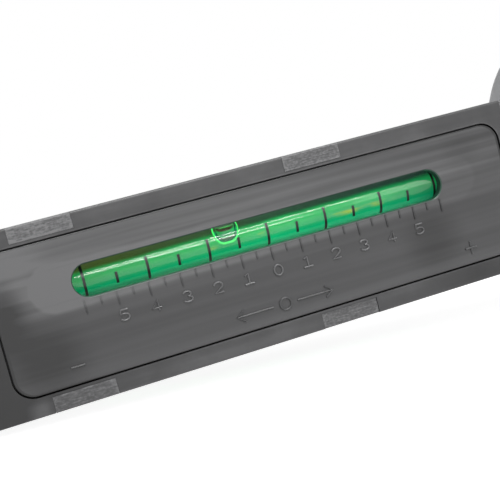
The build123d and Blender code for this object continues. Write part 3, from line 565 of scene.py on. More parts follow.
# The white ABS looks bright and even, nylon milky, and rubber dull and nearly black.
nylon_finish = mottled("moulded_nylon_washer", (2 * MM,) * 3, NYLON_DULL, NYLON, IOR=1.53,
                       Roughness=0.5)
dress(mottled("moulded_abs_cradle", (12 * MM, 2 * MM, 2 * MM), CRADLE_FLOW, CRADLE_WHITE,
              IOR=ABS_IOR, Roughness=0.4),
      "camber_cradle", "upper_caster_cradle", "lower_caster_cradle")
dress(mottled("moulded_rubber", (1.5 * MM,) * 3, RUBBER, RUBBER_DUST, (0.3 * MM, 0.01 * MM),
              IOR=1.52, Roughness=0.75),
      "camber_levelling_pads", "camber_vial_plugs", "upper_caster_vial_plugs",
      "lower_caster_vial_plugs", "cross_level_plugs", "upper_caster_knob_ring",
      "lower_caster_knob_ring")
for side in ("upper_caster", "lower_caster"):
    washer_low, washer_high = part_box(f"{side}_pivot_washer")
    washer_r = (washer_high.x - washer_low.x) / 2
    half_t = min(washer_high - washer_low) / 2 - WASHER_ROOM
    washer = spun(oblong(-half_t, half_t, WASHER_BORE_R, washer_r), WASHER_EDGE_R)[..., [1, 0, 2]]
    washer = np.array((washer_low + washer_high) / 2) + round_case(washer, side)
    add_piece(skinned(f"{side}_washer_moulded", [washer], closed=True), nylon_finish, "case",
              "washer_nylon", f"{side}_pivot_washer")


# ---- Vials ------------------------------------------------------------------------------
# A clear acrylic tube full of dyed spirit, closed by a plug at each end. The spirit bends
# light nearly as the acrylic does, so no surface shows between them: tube and liquid are one
# clear body with the bubble as a hollow. The dye's green is a layer at the back of the bore,
# painted with light and shade, and it glows by its own emission, which is painted light.
ACRYLIC_IOR, SPIRIT_IOR = 1.47, 1.36
GREEN_FOOT, GREEN_EDGE, GREEN_DEEP = "#229a68", "#16c482", "#0cc680"
GREEN_LOW, GREEN, YELLOW_GREEN = "#34c67a", "#34d873", "#aacb45"
OLIVE_SHADE, MOSS_SHADE, TEAL_SHADE = "#4c5f2c", "#3a5a45", "#29423a"
BUBBLE_SHADOW_BROWN = "#4a3620"
ACRYLIC, MENISCUS_GREEN, MENISCUS_GLOW = "#f7fbf8", "#3fe36c", "#4dff74"
LIT_ALONG = ((0.0, "#dadada"), (0.3, "#ececec"), (0.55, "#ffffff"), (0.85, "#dceef4"),
             (0.95, "#bcd8de"))
BORE_R, EDGE_R, GLOW_DEPTH, GLOW_STEP = 3.6 * MM, 0.3 * MM, 0.15 * MM, 0.5 * MM
BUBBLE_R, BUBBLE_L, BUBBLE_OFF, BUBBLE_SKIN = 2.4 * MM, 6.4 * MM, 1.95 * MM, 0.25 * MM
MENISCUS_R = 0.13 * MM
# Painted brown shadow of the bubble: its inset from the bubble's sides, and the lengths over which
# it fades in at the ends and at the sides.
BROWN_INSET, BROWN_END, BROWN_EDGE = 0.5 * MM, 0.8 * MM, 0.6 * MM
HALF_STEPS, GLOW_STEPS, WIRE_STEPS = 33, 41, 10
CAMBER_BUBBLE_AT, CASTER_BUBBLE_AT = -8.8 * MM, -24 * MM
HALF_HEIGHT, HALF_LENGTH = 3 * MM, 50 * MM
RIPPLE_SIZE, RIPPLE_LIFT = (12 * MM, 2 * MM, 2 * MM), 0.16 * MM
SHADE_FOOT_LEFT, SHADE_FOOT_RIGHT, SHADE_TOP = 0.42 * MM, 0.3 * MM, 1.02 * MM
# Painted glints: middle and reach along in millimetres, middle up and strength.
GLINTS = ((-12.6, 1.9, -0.68, 0.8), (1.3, 2.6, -0.6, 0.6), (24.5, 7, -0.82, 1.0),
          (34, 7, -0.76, 0.9))
GLINT_SIZE, GLINT_HALF_H = (4.5 * MM, 0.5 * MM, 0.5 * MM), 0.32 * MM
GLINT_CORE, GLINT_NONE, GLINT_FULL = 0.3, 0.4, 0.62
spirit_low, spirit_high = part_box("camber_vial_liquid")


def clear_body(x0, x1, spirit_x0, spirit_x1, radius, bore_r):
    """Profile of the clear column as (x, radius): from the foot of the left plug's bore out
    round the tube's skin to the foot of the right one. A second ring stands near each end of
    the skin, so that the skin is shaded truly round along its whole length."""
    near = 3 * EDGE_R
    return eased([(spirit_x0, 0), (spirit_x0, bore_r), (x0, bore_r), (x0, radius),
                  (x0 + near, radius), (x1 - near, radius), (x1, radius), (x1, bore_r),
                  (spirit_x1, bore_r), (spirit_x1, 0)], EDGE_R)


def bubble_rings(x, y, z, radius, length):
    """Rings of a capsule along X: a half circle's radius at each end and a straight middle."""
    turn = np.linspace(0, math.pi, HALF_STEPS)
    reach = np.where(turn < math.pi / 2, -1, 1) * (length / 2 - radius)
    profile = [x - np.cos(turn) * radius + reach, np.sin(turn) * radius]
    return turned(np.transpose(profile), y, z, 48)


def pressed_in(points):
    """Points drawn in towards the tube's axis where they would come too near its bore."""
    off = (points - [0, tube_y, tube_up]) * [0, 1, 1]
    away = np.linalg.norm(off, axis=-1, keepdims=True)
    return points - off * (1 - np.minimum(1, (BORE_R - BUBBLE_SKIN) / np.maximum(away, 1e-9)))


def meniscus(x, y, z, radius, length, wire):
    """A wire for the painted reflection of the bright rim where spirit meets bubble: a round wire
    that follows the bubble's outline in the dial's plane, two half circles joined by straight
    lines, kept inside the bore."""
    right = np.linspace(-math.pi / 2, math.pi / 2, HALF_STEPS)
    turn = np.concatenate([right, right + math.pi])
    reach = (length / 2 - radius) * np.repeat([1, -1], HALF_STEPS)
    out = np.stack([np.cos(turn), 0 * turn, np.sin(turn)], axis=1)
    path = pressed_in([x, y, z] + radius * out + reach[:, None] * [1, 0, 0])
    turn = np.linspace(0, 2 * math.pi, WIRE_STEPS, endpoint=False)[None, :, None]
    return path[:, None, :] + wire * (np.cos(turn) * out[:, None, :] + np.sin(turn) * [0, 1, 0])


def with_hollow(mesh, rings):
    """Adds the bubble to a clear body as an inner wall, with its faces turned into the bubble."""
    hollow = skinned("bubble", [rings])
    joined = bmesh.new()
    joined.from_mesh(hollow)
    bmesh.ops.reverse_faces(joined, faces=joined.faces)
    joined.from_mesh(mesh)
    joined.to_mesh(mesh)
    joined.free()
    bpy.data.meshes.remove(hollow)
    mesh.shade_smooth()
    mesh.set_sharp_from_angle(angle=SHARP)
    return mesh


def glow_body(x0, x1, y, z, bore_r):
    """The dyed layer at the back of the bore: a thin crescent, a quarter turn to either side of
    the way back, carried along X."""
    turn = np.linspace(-math.pi / 2, math.pi / 2, GLOW_STEPS)
    turns = np.concatenate([turn, turn[::-1]])
    radii = np.repeat([bore_r, bore_r - GLOW_DEPTH], turn.size)
    xs = np.linspace(x0, x1, round((x1 - x0) / GLOW_STEP))[:, None]
    return np.stack([xs + 0 * turns, y + radii * np.cos(turns) + 0 * xs,
                     z + radii * np.sin(turns) + 0 * xs], axis=-1)


def points_of(mesh):
    """The mesh's points as one array."""
    points = np.empty(len(mesh.vertices) * 3)
    mesh.vertices.foreach_get("co", points)
    return points.reshape(-1, 3)


def keep_places(mesh, **places):
    """Stores one number for each point of the mesh under each name."""
    for name, values in places.items():
        kept = mesh.attributes.new(name, "FLOAT", "POINT")
        kept.data.foreach_set("value", values.astype(np.float32))


def smooth(value):
    """Zero below 0, one above 1 and 3v^2 - 2v^3 between."""
    v = np.clip(value, 0, 1)
    return 3 * v ** 2 - 2 * v ** 3


def dyed_spirit():
    """Dyed spirit with painted light and shade: bright green along the middle and darker to the
    foot, painted shade under the window's upper edge, olive at the left and teal at the right, and
    short yellow-green painted glints; its emission is painted light. The piece's own attributes
    give the place along and up the tube, and where the bubble's painted brown shadow lies behind
    it."""
    # The emission is painted light, so that the dye glows by itself.
    made, tree, shader = material("dyed_spirit", IOR=SPIRIT_IOR, Roughness=0.3,
                                  Specular_IOR_Level=0.0, Emission_Strength=0.34)
    up, along, bubble_shadow_share = (add(tree, "ShaderNodeAttribute", attribute_name=name).outputs["Fac"]
                         for name in ("up_tube", "along_tube", "behind_bubble"))
    height, place = (add(tree, "ShaderNodeMapRange", {"Value": value, "From Min": -half,
                                                      "From Max": half})
                     for value, half in ((up, HALF_HEIGHT), (along, HALF_LENGTH)))
    # Painted light and shade up the tube: darker towards the foot, brightest green along the
    # middle.
    green = add(tree, "ShaderNodeValToRGB", {"Fac": height}, stops=(
        (0.2, GREEN_FOOT), (0.235, GREEN_EDGE), (0.28, GREEN_DEEP), (0.36, GREEN_LOW),
        (0.475, GREEN)))
    # Painted light along the tube: brightest in the middle, darker to both ends and bluer at the
    # right.
    fade = add(tree, "ShaderNodeValToRGB", {"Fac": place}, stops=LIT_ALONG)
    # Painted shade under the window's upper edge.
    shade = add(tree, "ShaderNodeValToRGB", {"Fac": place}, stops=(
        (0.1, OLIVE_SHADE), (0.53, MOSS_SHADE), (0.86, TEAL_SHADE)))
    body = add(tree, "ShaderNodeMix", {"Factor": 1.0, "A": green, "B": fade}, data_type="RGBA",
               blend_type="MULTIPLY")
    edge = total(tree, -RIPPLE_LIFT, up,
                 [stretched_noise(tree, RIPPLE_SIZE), 2 * RIPPLE_LIFT])
    foot = total(tree, SHADE_FOOT_LEFT, [place, SHADE_FOOT_RIGHT - SHADE_FOOT_LEFT])
    layers = [(total(tree, 0.0, (edge, (foot, SHADE_TOP, 0.0, 1.0))), shade)]
    uneven = add(tree, "ShaderNodeMapRange", {"Value": stretched_noise(tree, GLINT_SIZE),
                                              "From Min": GLINT_NONE,
                                              "From Max": GLINT_FULL})
    for middle, reach, middle_up, strength in GLINTS:
        across = total(tree, -middle / reach, [along, 1 / (reach * MM)])
        tall = total(tree, -middle_up * MM / GLINT_HALF_H, [up, 1 / GLINT_HALF_H])
        spot = add(tree, "ShaderNodeCombineXYZ", {"X": across, "Y": tall})
        far = add(tree, "ShaderNodeVectorMath", {0: spot}, operation="LENGTH")
        share = total(tree, 0.0, [(far, (GLINT_CORE, 1.0, strength, 0.0)), uneven])
        layers.append((share, linear(YELLOW_GREEN)))
    for share, colour in [*layers, (bubble_shadow_share, linear(BUBBLE_SHADOW_BROWN))]:
        body = add(tree, "ShaderNodeMix", {"Factor": share, "A": body, "B": colour},
                   data_type="RGBA")
    join(tree, shader, {"Base Color": body, "Emission Color": body})
    return made


# Polished acrylic is clear and glossy. Round the bubble's outline a thin wire glows green by its
# own emission: a painted reflection of the bright rim where spirit meets bubble.
acrylic_finish = material("polished_acrylic", Base_Color=linear(ACRYLIC), IOR=ACRYLIC_IOR,
                          Roughness=0.12, Transmission_Weight=1.0)[0]
meniscus_glow_finish = material("spirit_meniscus_painted_reflection", Base_Color=linear(MENISCUS_GREEN), IOR=SPIRIT_IOR,
                           Roughness=0.3, Emission_Color=linear(MENISCUS_GLOW),
                           Emission_Strength=0.85)[0]
spirit_painted_light_finish = dyed_spirit()
VIALS = (("camber", "case", CAMBER_BUBBLE_AT), ("upper_caster", "upper_cradle", CASTER_BUBBLE_AT),
         ("lower_caster", "lower_cradle", CASTER_BUBBLE_AT))
for side, vial_body, bubble_at in VIALS:
    quarter = QUARTER_TURNS[side] * math.pi / 2
    float_y, float_up = (round(f(quarter)) * BUBBLE_OFF for f in (math.sin, math.cos))
    skin = clear_body(tube_low.x, tube_high.x, spirit_low.x, spirit_high.x, tube_r, BORE_R)
    clear = skinned(f"{side}_vial_clear_body", [round_case(turned(skin, tube_y, tube_up), side)])
    bubble_place = (zero_x + bubble_at, tube_y + float_y, tube_up + float_up)
    bubble = pressed_in(bubble_rings(*bubble_place, BUBBLE_R, BUBBLE_L))
    add_piece(with_hollow(clear, round_case(bubble, side)), acrylic_finish, vial_body,
              "vial_acrylic", f"{side}_vial_tube")
    # The glowing wire of the painted reflection round the bubble.
    rim = meniscus(*bubble_place, BUBBLE_R + MENISCUS_R, BUBBLE_L + 2 * MENISCUS_R, MENISCUS_R)
    add_piece(skinned(f"{side}_vial_meniscus_glow", [round_case(rim, side)], closed=True),
              meniscus_glow_finish, vial_body, "vial_liquid")
    glow = glow_body(spirit_low.x, spirit_high.x, tube_y, tube_up, BORE_R)
    dyed = skinned(f"{side}_vial_spirit", [round_case(glow, side)])
    up_tube = points_of(dyed) @ round_case((0, 0, 1), side) - tube_up
    along_tube = points_of(dyed)[:, 0] - zero_x
    # Painted brown shadow of the bubble on the dye behind it.
    within = smooth((BUBBLE_L / 2 - np.abs(along_tube - bubble_at)) / BROWN_END)
    behind = smooth((BUBBLE_R - BROWN_INSET - np.abs(up_tube - float_up)) / BROWN_EDGE)
    keep_places(dyed, up_tube=up_tube, along_tube=along_tube, behind_bubble=within * behind)
    add_piece(dyed, spirit_painted_light_finish, vial_body, "vial_liquid", f"{side}_vial_liquid")


# ---- Graduations on the vials -----------------------------------------------------------
# Black enamel lines fired round the front of each tube, one for each degree: long at the even
# degrees, short at the odd, and right across the window at both ends.
ENAMEL, ENAMEL_DULL = "#0f1713", "#18221d"
LINE_W, LINE_PROUD = 0.7 * MM, 0.03 * MM
CAMBER_LINE_STEP, CAMBER_LINE_SHIFT = 7.97 * MM, 1.12 * MM
LONG_TURN, SHORT_TURN, FULL_TURN = (-57, 20), (-36, 0), (-62, 62)  # degrees round the tube
# Fired enamel is black with a soft shine; a little green light from behind is painted into it.
enamel_finish = mottled("fired_enamel_black", (0.4 * MM,) * 3, ENAMEL, ENAMEL_DULL, IOR=1.5,
                        Roughness=0.35)


def enamel_line(x, y, z, width, radius, turns, steps=17):
    """A strip round the front of a tube: a thin oblong section, carried from the lower to the
    upper angle about the tube's axis."""
    turn = np.radians(np.linspace(*turns, steps))[:, None]
    xs = x + width / 2 * np.array([-1, 1, 1, -1])
    radii = radius + LINE_PROUD * np.array([1, 1, -1, -1])
    return np.stack([xs + 0 * turn, y - radii * np.cos(turn), z + radii * np.sin(turn)], axis=-1)


camber_lines = [(CAMBER_LINE_SHIFT + d * CAMBER_LINE_STEP, d) for d in range(-6, 7)]
caster_lines = [((d - 4) * CASTER_STEP, d) for d in range(-4, 13)]
for side, vial_body, _ in VIALS:
    lines = camber_lines if side == "camber" else caster_lines
    strips = [enamel_line(zero_x + along, tube_y, tube_up, LINE_W, tube_r,
                          FULL_TURN if degree in (lines[0][1], lines[-1][1])
                          else SHORT_TURN if degree % 2 else LONG_TURN)
              for along, degree in lines]
    add_piece(skinned(f"{side}_vial_graduations", [round_case(strip, side) for strip in strips]),
              enamel_finish, vial_body, "vial_acrylic")


# ---- Screws and clips -------------------------------------------------------------------
# Slotted screws in zinc-plated steel hold the end cap, the neck, the cup and the cradles, and
# open rings of spring steel keep the knobs in. Zinc gives a cool, slightly cloudy shine.
ZINC, ZINC_DULL = "#b9bcc0", "#a2a5aa"
SPRING_PALE, SPRING_DARK = "#949597", "#858688"
# Drawn spring steel is greyer than zinc and slightly duller.
spring_finish = mottled("drawn_spring_steel", (0.5 * MM,) * 3, SPRING_DARK, SPRING_PALE,
                        Metallic=1.0, Roughness=0.3)
dress(spring_finish, "upper_caster_knob_clip", "lower_caster_knob_clip")
dress(mottled("zinc_plated_steel", (0.8 * MM,) * 3, ZINC_DULL, ZINC, Metallic=1.0,
              Roughness=0.32),
      "end_cap_screws", "neck_screws", "cup_screws", "camber_levelling_screws",
      "upper_caster_pivot_screw", "lower_caster_pivot_screw")


# ---- Zero knobs -------------------------------------------------------------------------
# Two fluted knobs turned from steel bar stick out of the end cap. Each is one piece with its
# shaft, and a crank pin at the inner end swings the caster cradle.
KNOB_PALE, KNOB_DARK = "#b4b4b6", "#98989b"
KNOB_R, KNOB_L, KNOB_BEVEL, KNOB_EASE = 7 * MM, 9 * MM, 0.7 * MM, 0.25 * MM
FLUTES, FLUTE_STEPS, FLUTE_DEPTH, FLUTE_FADE = 20, 240, 0.55 * MM, 1.12 * MM
DISH_DEPTH, DISH_R, DISH_EDGE_R = 0.35 * MM, 3.85 * MM, 4.76 * MM
SHAFT_R, SHAFT_EASE = 2.5 * MM, 0.2 * MM
CRANK_R, CRANK_T, CRANK_THROW = 5 * MM, 3 * MM, 3 * MM
CRANK_PIN_R, CRANK_PIN_L = 1.5 * MM, 5 * MM
# Turned steel shines between fine tool marks round its axis, drawn coarser than they are.
turned_finish = mottled("turned_steel", (0.18 * MM, 20 * MM, 20 * MM), KNOB_DARK, KNOB_PALE,
                        Metallic=1.0, Roughness=0.28)


def fluted_head(x_out, x_in):
    """The knob's head: a turned profile whose side is drawn in by a raised cosine, once for
    each flute, and not at all on the end faces."""
    profile = eased([(x_out + DISH_DEPTH, 0), (x_out + DISH_DEPTH, DISH_R), (x_out, DISH_EDGE_R),
                     (x_out, KNOB_R - KNOB_BEVEL), (x_out + KNOB_BEVEL, KNOB_R),
                     (x_in - KNOB_BEVEL, KNOB_R), (x_in, KNOB_R - KNOB_BEVEL), (x_in, 0)],
                    KNOB_EASE)
    rings = turned(profile, steps=FLUTE_STEPS)
    turn = np.linspace(0, 2 * math.pi, FLUTE_STEPS, endpoint=False)
    cut = FLUTE_DEPTH * (0.5 + 0.5 * np.cos(FLUTES * turn)) ** 2
    radius = np.maximum(profile[:, 1], 1e-9)[:, None]
    share = np.clip((radius - KNOB_R + FLUTE_FADE) / FLUTE_FADE, 0, 1)
    rings[..., 1:] *= (1 - share * cut / radius)[..., None]
    return rings


for side, knob_body in (("upper_caster", "upper_knob"), ("lower_caster", "lower_knob")):
    knob_low, knob_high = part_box(f"{side}_zero_knob")
    head_x, crank_x = knob_low.x + KNOB_L, knob_high.x - CRANK_PIN_L
    shaft = turned(eased([(head_x - EDGE_R, 0), (head_x - EDGE_R, SHAFT_R),
                          (crank_x - CRANK_T, SHAFT_R), (crank_x - CRANK_T, CRANK_R),
                          (crank_x, CRANK_R), (crank_x, 0)], SHAFT_EASE))
    crank = turned(eased([(crank_x - EDGE_R, 0), (crank_x - EDGE_R, CRANK_PIN_R),
                          (knob_high.x, CRANK_PIN_R), (knob_high.x, 0)], SHAFT_EASE), steps=32)
    axis_at = np.array((knob_low + knob_high) / 2) * [0, 1, 1]
    crank_at = axis_at + round_case((0, 1, 0), side) * CRANK_THROW
    head = fluted_head(knob_low.x, head_x)
    knob = skinned(f"{side}_knob_turned", [head + axis_at, shaft + axis_at, crank + crank_at])
    add_piece(knob, turned_finish, knob_body, "knob_steel", f"{side}_zero_knob")


# ---- Cross level ------------------------------------------------------------------------
# A short level lies across the end cap behind its own window, to show that the gauge isn't
# turned about its length. It is made like the long vials: acrylic, dyed spirit and a bubble.
LEVEL_WALL, LEVEL_BUBBLE_R, LEVEL_BUBBLE_L = 1 * MM, 1.35 * MM, 5 * MM
LEVEL_LINE_AT, LEVEL_LINE_W, LEVEL_TURN = 3.2 * MM, LINE_W * 2 / 3, (-40, 40)
level_low, level_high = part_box("cross_level_tube")
level_half, spirit_half = level_high.y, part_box("cross_level_liquid")[1].y
level_x, level_r = (level_low.x + level_high.x) / 2, (level_high.x - level_low.x) / 2
level_bore = level_r - LEVEL_WALL


def across_cap(rings):
    """Rings made about X at the origin, laid along Y in the end cap with their front to -X."""
    return rings[..., [1, 0, 2]] + [level_x, 0, 0]


level_skin = clear_body(-level_half, level_half, -spirit_half, spirit_half, level_r, level_bore)
level_clear = skinned("cross_level_clear_body", [across_cap(turned(level_skin))])
bubble_up = level_bore - LEVEL_BUBBLE_R - GLOW_DEPTH
level_bubble = across_cap(bubble_rings(0, 0, bubble_up, LEVEL_BUBBLE_R, LEVEL_BUBBLE_L))
add_piece(with_hollow(level_clear, level_bubble), acrylic_finish, "case", "vial_acrylic",
          "cross_level_tube")
level_glow = across_cap(glow_body(-spirit_half, spirit_half, 0, 0, level_bore))
level_dyed = skinned("cross_level_spirit", [level_glow])
keep_places(level_dyed, up_tube=points_of(level_dyed)[:, 2],
            along_tube=points_of(level_dyed)[:, 1])
add_piece(level_dyed, spirit_painted_light_finish, "case", "vial_liquid", "cross_level_liquid")
level_lines = [across_cap(enamel_line(at, 0, 0, LEVEL_LINE_W, level_r, LEVEL_TURN, 13))
               for at in (-LEVEL_LINE_AT, LEVEL_LINE_AT)]
add_piece(skinned("cross_level_graduations", level_lines), enamel_finish, "case",
          "vial_acrylic")


# ---- Magnetic base ----------------------------------------------------------------------
# A turned steel cup, painted satin grey, holds a ring of ferrite; its bare ground rim and the
# steel ring in the middle are the two poles that grip the hub. The ferrite is nearly black.
CUP_GREY, CUP_DULL = "#adaeb0", "#a3a4a6"
POLE_PALE, POLE_DARK = "#b3b4b7", "#8e8f92"
FERRITE_PALE, FERRITE_DARK = "#3a3a3c", "#2a2a2c"
BRASS_PALE, BRASS_DARK = "#c9a655", "#a8873f"
CUP_EDGE_R, CUP_RIM, CUP_RIM_X = 1 * MM, 3.5 * MM, -0.25 * MM
GROUND_X, GROUND_INSET, GROUND_EASE = -0.6 * MM, 0.02 * MM, 0.15 * MM
RING_EASE, MAGNET_GAP = 0.3 * MM, 0.3 * MM
TURNING_MARK, TURNING_DEPTH, BLOTCH_SIZE = 0.35 * MM, 0.004 * MM, 6 * MM
cup_low, cup_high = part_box("magnet_cup")
bush_low, bush_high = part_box("pin_bush")
pole_low, pole_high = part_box("inner_pole")
ferrite_low, ferrite_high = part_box("ring_magnet")
cup_r, cup_in, bush_r = cup_high.z, cup_high.z - CUP_RIM, bush_high.z


def ringed_metal(name, dark, pale, roughness, metallic):
    """Metal or ferrite ground while it spins: fine rings about the X axis, from noise read at
    the distance from that axis. They are drawn coarser than real grinding marks."""
    made, tree, shader = material(name, Metallic=metallic, Roughness=roughness)
    place = add(tree, "ShaderNodeTexCoord").outputs["Object"]
    flat = add(tree, "ShaderNodeVectorMath", {0: place, 1: (0, 1, 1)}, operation="MULTIPLY")
    away = add(tree, "ShaderNodeVectorMath", {0: flat}, operation="LENGTH")
    rings = add(tree, "ShaderNodeTexNoise", {"W": away, "Scale": 1 / TURNING_MARK, "Detail": 3.0},
                noise_dimensions="1D")
    blotch = stretched_noise(tree, (BLOTCH_SIZE,) * 3, detail=4.0)
    ramp = add(tree, "ShaderNodeValToRGB", {"Fac": total(tree, 0.0, [rings, 0.5], [blotch, 0.5])},
               stops=((0.35, dark), (0.65, pale)))
    bump = add(tree, "ShaderNodeBump", {"Height": rings, "Strength": 1.0,
                                        "Distance": TURNING_DEPTH})
    join(tree, shader, {"Base Color": ramp, "Normal": bump})
    return made


# Satin paint looks soft and even, ground steel bright, ferrite dull and brass warm.
paint_finish = mottled("satin_paint_on_steel", (3 * MM,) * 3, CUP_DULL, CUP_GREY,
                       (0.5 * MM, 0.006 * MM), IOR=1.5, Roughness=0.34)
ground_finish = ringed_metal("ground_steel_pole", POLE_DARK, POLE_PALE, 0.3, 1.0)
ferrite_finish = ringed_metal("ground_ferrite", FERRITE_DARK, FERRITE_PALE, 0.55, 0.0)
brass_finish = ringed_metal("turned_brass_bush", BRASS_DARK, BRASS_PALE, 0.28, 1.0)


def turned_ring(name, corners, finish, slot, ease, *stands_for):
    """A fixed ring-shaped piece of the base, from its (x, radius) corners."""
    mesh = skinned(name, [spun(corners, ease, 128)], closed=True)
    add_piece(mesh, finish, "case", slot, *stands_for)


turned_ring("magnet_cup_turned",
            [(cup_low.x, bush_r), (cup_low.x, cup_r), (CUP_RIM_X, cup_r), (CUP_RIM_X, cup_in),
             (pole_low.x, cup_in), (pole_low.x, bush_r)],
            paint_finish, "cup_paint", CUP_EDGE_R, "magnet_cup")
turned_ring("cup_rim_ground", oblong(GROUND_X, 0, cup_in + GROUND_INSET, cup_r - CUP_EDGE_R),
            ground_finish, "pole_steel", GROUND_EASE)
turned_ring("ring_magnet_ground",
            oblong(ferrite_low.x, ferrite_high.x, pole_high.z + MAGNET_GAP, ferrite_high.z),
            ferrite_finish, "magnet_ferrite", RING_EASE, "ring_magnet")
turned_ring("inner_pole_ground", oblong(pole_low.x, pole_high.x, bush_r, pole_high.z),
            ground_finish, "pole_steel", RING_EASE, "inner_pole")


# ---- Centring pin -----------------------------------------------------------------------
# A steel pin slides in a brass bush in the middle of the magnet, pushed out by a spring. Its
# blunt cone finds the centre hole of the hub, and it goes in flush when pressed.
PIN_R, PIN_ROOM, PIN_OUT = 5 * MM, 0.05 * MM, 3 * MM
NOSE_R, TAIL_R = 1 * MM, 3 * MM
COLLAR_R, COLLAR_T, COLLAR_X = 8.4 * MM, 2 * MM, -16.2 * MM
pin_low, pin_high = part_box("centring_pin")

turned_ring("pin_bush_turned", oblong(bush_low.x, bush_high.x, PIN_R + PIN_ROOM, bush_r),
            brass_finish, "bush_brass", RING_EASE, "pin_bush")
pin_profile = eased([(pin_low.x, 0), (pin_low.x, TAIL_R), (COLLAR_X - COLLAR_T, TAIL_R),
                     (COLLAR_X - COLLAR_T, COLLAR_R), (COLLAR_X, COLLAR_R), (COLLAR_X, PIN_R),
                     (PIN_OUT, PIN_R), (pin_high.x, NOSE_R), (pin_high.x, 0)], RING_EASE)
add_piece(skinned("centring_pin_turned", [turned(pin_profile, steps=96)]), turned_finish,
          "centring_pin", "pin_steel", "centring_pin")


# ---- Pin spring -------------------------------------------------------------------------
# A compression spring of drawn steel wire stands between the floor of its tube in the neck and
# the pin's collar. Its end turns are closed up, and it shortens as the pin is pressed in.
WIRE_R, SPRING_R = 0.45 * MM, 5.6 * MM
SPRING_TURNS, TURN_PLACES = 8, 48
SPRING_ROOM, CLOSED_RISE = 0.03 * MM, 0.918 * MM
spring_low, spring_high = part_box("pin_spring")


def wound(x0, x1):
    """Rings of a wire wound about the X axis: the first and the last turn rise by little more
    than the wire's width, and those between them share the rest. At each place the wire's
    circle stands across its path, between the way out from the axis and the way along it."""
    turns = np.linspace(0, SPRING_TURNS, SPRING_TURNS * TURN_PLACES + 1)
    rise = np.interp(turns, [0, 1, SPRING_TURNS - 1, SPRING_TURNS],
                     [x0, x0 + CLOSED_RISE, x1 - CLOSED_RISE, x1])
    angle = 2 * math.pi * turns
    out = np.stack([0 * turns, np.cos(angle), np.sin(angle)], axis=1)
    middle = out * SPRING_R + rise[:, None] * [1, 0, 0]
    side = np.cross(np.gradient(middle, axis=0), out)
    side /= np.linalg.norm(side, axis=1, keepdims=True)
    turn = np.linspace(0, 2 * math.pi, 12, endpoint=False)[None, :, None]
    return middle[:, None] + WIRE_R * (np.cos(turn) * out[:, None] + np.sin(turn) * side[:, None])


coil = wound(spring_low.x + WIRE_R + SPRING_ROOM, spring_high.x - WIRE_R - SPRING_ROOM)
spring = add_piece(skinned("pin_spring_wound", [coil]), spring_finish, "case", "spring_steel",
                   "pin_spring")
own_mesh(spring)


# ---- Floor ------------------------------------------------------------------------------
# A plain pale board under the gauge, which rests on it with the round base and the lower edge
# of the end cap, as it would on a bench. Seen directly it is lifted to white.
FLOOR_PALE, FLOOR_LIFT = "#c8c8c8", 0.9
FLOOR_REACH, FLOOR_GAP = 6.0, 0.02 * MM
end_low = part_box("end_cap")[0]
front_foot = Vector((cup_low.x + CUP_EDGE_R, 0, cup_low.z))
back_foot = Vector((end_low.x, 0, end_low.z))
slope = math.atan2(back_foot.z - front_foot.z, front_foot.x - back_foot.x)
lengthways = np.array([math.cos(slope), 0, -math.sin(slope)])
down = -np.array([math.sin(slope), 0, math.cos(slope)])
floor_middle = np.array((front_foot + back_foot) / 2) + down * FLOOR_GAP
corners = [(floor_middle + FLOOR_REACH * (lengthways * i + [0, j, 0])).tolist()
           for i, j in ((-1, -1), (1, -1), (1, 1), (-1, 1))]
floor_mesh = bpy.data.meshes.new("floor")
floor_mesh.from_pydata(corners, [], [(0, 1, 2, 3)])
floor = bpy.data.objects.new("floor", floor_mesh)
bpy.context.scene.collection.objects.link(floor)


def seen_directly(tree):
    """One where the ray comes from the camera, a mirror-like surface or clear glass."""
    rays = add(tree, "ShaderNodeLightPath").outputs
    seen = rays["Is Camera Ray"]
    for ray in ("Is Glossy Ray", "Is Transmission Ray"):
        seen = add(tree, "ShaderNodeMath", {0: seen, 1: rays[ray]}, operation="MAXIMUM")
    return seen


floor_finish, floor_tree, floor_shader = material(
    "painted_board", Base_Color=linear(FLOOR_PALE), Roughness=0.9, Specular_IOR_Level=0.0)
lift = total(floor_tree, 0.0, [seen_directly(floor_tree), FLOOR_LIFT])
white = add(floor_tree, "ShaderNodeEmission", {"Color": (1, 1, 1, 1), "Strength": lift})
lifted = add(floor_tree, "ShaderNodeAddShader", {0: floor_shader, 1: white})
join(floor_tree, floor_tree.nodes["Material Output"], {"Surface": lifted})
floor_mesh.materials.append(floor_finish)


# ---- Light ------------------------------------------------------------------------------
# A white room that fills in from all round, soft lamps above, behind and at the left, and a
# smaller one high in front that rakes down the dial, so that its raised marks stand out.
# Two narrow strips and a small box draw the bright lines and the pale band on the vial.
ROOM_FILL = 0.11
STRIP_T, BOX_T, STRIP_AWAY = 45 * MM, 85 * MM, 0.6
# Soft lamps: name, offset from the gauge's middle, width and height in metres, radiance.
SOFT_LAMPS = (("soft_above", (0.1, -0.15, 0.9), 0.8, 0.6, 0.5),
              ("soft_behind", (0.2, 0.9, 0.45), 0.8, 0.6, 0.9),
              ("soft_left", (-0.95, 0.02, 0.3), 0.6, 0.6, 2.6),
              ("raking", (0.05, -0.42, 0.8), 0.3, 0.3, 20))
# Strips: name, x and height angle above the vial at both ends, thickness and radiance.
STRIPS = (("strip_lower", (-0.136, 29), (0.074, 13.5), STRIP_T, 22),
          ("strip_upper", (-0.136, 37.2), (0.143, 36), STRIP_T, 22),
          ("box_right", (0.18, 3), (0.18, 38), BOX_T, 3.6))


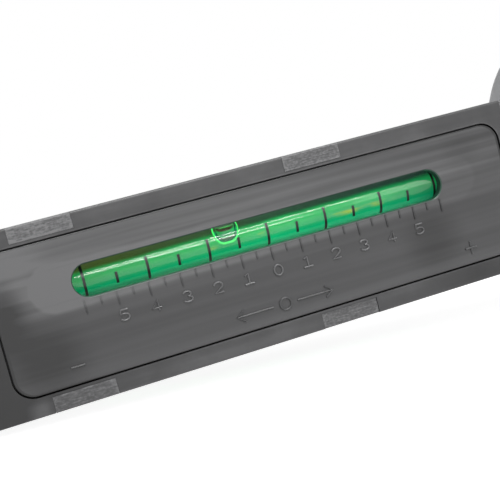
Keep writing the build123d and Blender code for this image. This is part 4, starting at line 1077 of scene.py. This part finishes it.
def lamp(name, start, end, thickness, aim, radiance):
    """A flat lamp whose long middle line runs from start to end and whose face looks at aim.
    Its power is the radiance times pi times its area."""
    middle, along = (start + end) / 2, (end - start)
    ahead = (aim - middle).normalized()
    across = ahead.cross(along).normalized()
    light = bpy.data.lights.new(name, "AREA")
    light.shape = "RECTANGLE"
    light.size, light.size_y = along.length, thickness
    light.energy = radiance * math.pi * along.length * thickness
    holder = bpy.data.objects.new(name, light)
    holder.matrix_world = Matrix.Translation(middle) @ Matrix(
        (across.cross(-ahead), across, -ahead)).transposed().to_4x4()
    bpy.context.scene.collection.objects.link(holder)


def in_front(x, elevation):
    """A place in front of the vial, at that height angle above it as seen along X."""
    rise = math.radians(elevation)
    return Vector((x, tube_y - STRIP_AWAY * math.cos(rise), tube_up + STRIP_AWAY * math.sin(rise)))


object_middle = (cad_low + cad_high) / 2
for name, offset, width, height, radiance in SOFT_LAMPS:
    middle = object_middle + Vector(offset)
    half = Vector(offset).cross(Vector((0, 0, 1))).normalized() * width / 2
    lamp(name, middle - half, middle + half, height, object_middle, radiance)
for name, start, end, thickness, radiance in STRIPS:
    lamp(name, in_front(*start), in_front(*end), thickness, Vector((zero_x, tube_y, tube_up)),
         radiance)

world = bpy.data.worlds.new("room")
world.use_nodes = True
bpy.context.scene.world = world
room = world.node_tree
fill = add(room, "ShaderNodeMapRange", {"Value": seen_directly(room), "To Min": ROOM_FILL,
                                        "To Max": 1.0})
join(room, room.nodes["Background"], {"Color": (1, 1, 1, 1), "Strength": fill})


# ---- Camera -----------------------------------------------------------------------------
# The photographer stood close, a little left of the dial and above it, and held the camera
# tilted. The place, turn and lens were worked out from the dial's evenly spaced ticks.
AIM = Vector((zero_x - 5.39 * MM, face_y, 2.12 * MM))
DISTANCE = 225.08 * MM
YAW, PITCH, ROLL = math.radians(13.914), math.radians(-3.967), math.radians(-14.856)
FOCAL, SENSOR, NEAREST = 64.8, 36.0, 0.01

camera_data = bpy.data.cameras.new("camera")
camera_data.sensor_width, camera_data.lens, camera_data.clip_start = SENSOR, FOCAL, NEAREST
camera = bpy.data.objects.new("camera", camera_data)
bpy.context.scene.collection.objects.link(camera)
bpy.context.scene.camera = camera
forward = Vector((math.sin(YAW) * math.cos(PITCH), math.cos(YAW) * math.cos(PITCH),
                  math.sin(PITCH)))
level_right = Vector((math.cos(YAW), -math.sin(YAW), 0))
right = level_right * math.cos(ROLL) + level_right.cross(forward) * math.sin(ROLL)
camera.matrix_world = Matrix.Translation(AIM - forward * DISTANCE) @ Matrix(
    (right, right.cross(forward), -forward)).transposed().to_4x4()
bpy.context.scene.view_settings.view_transform = "Standard"
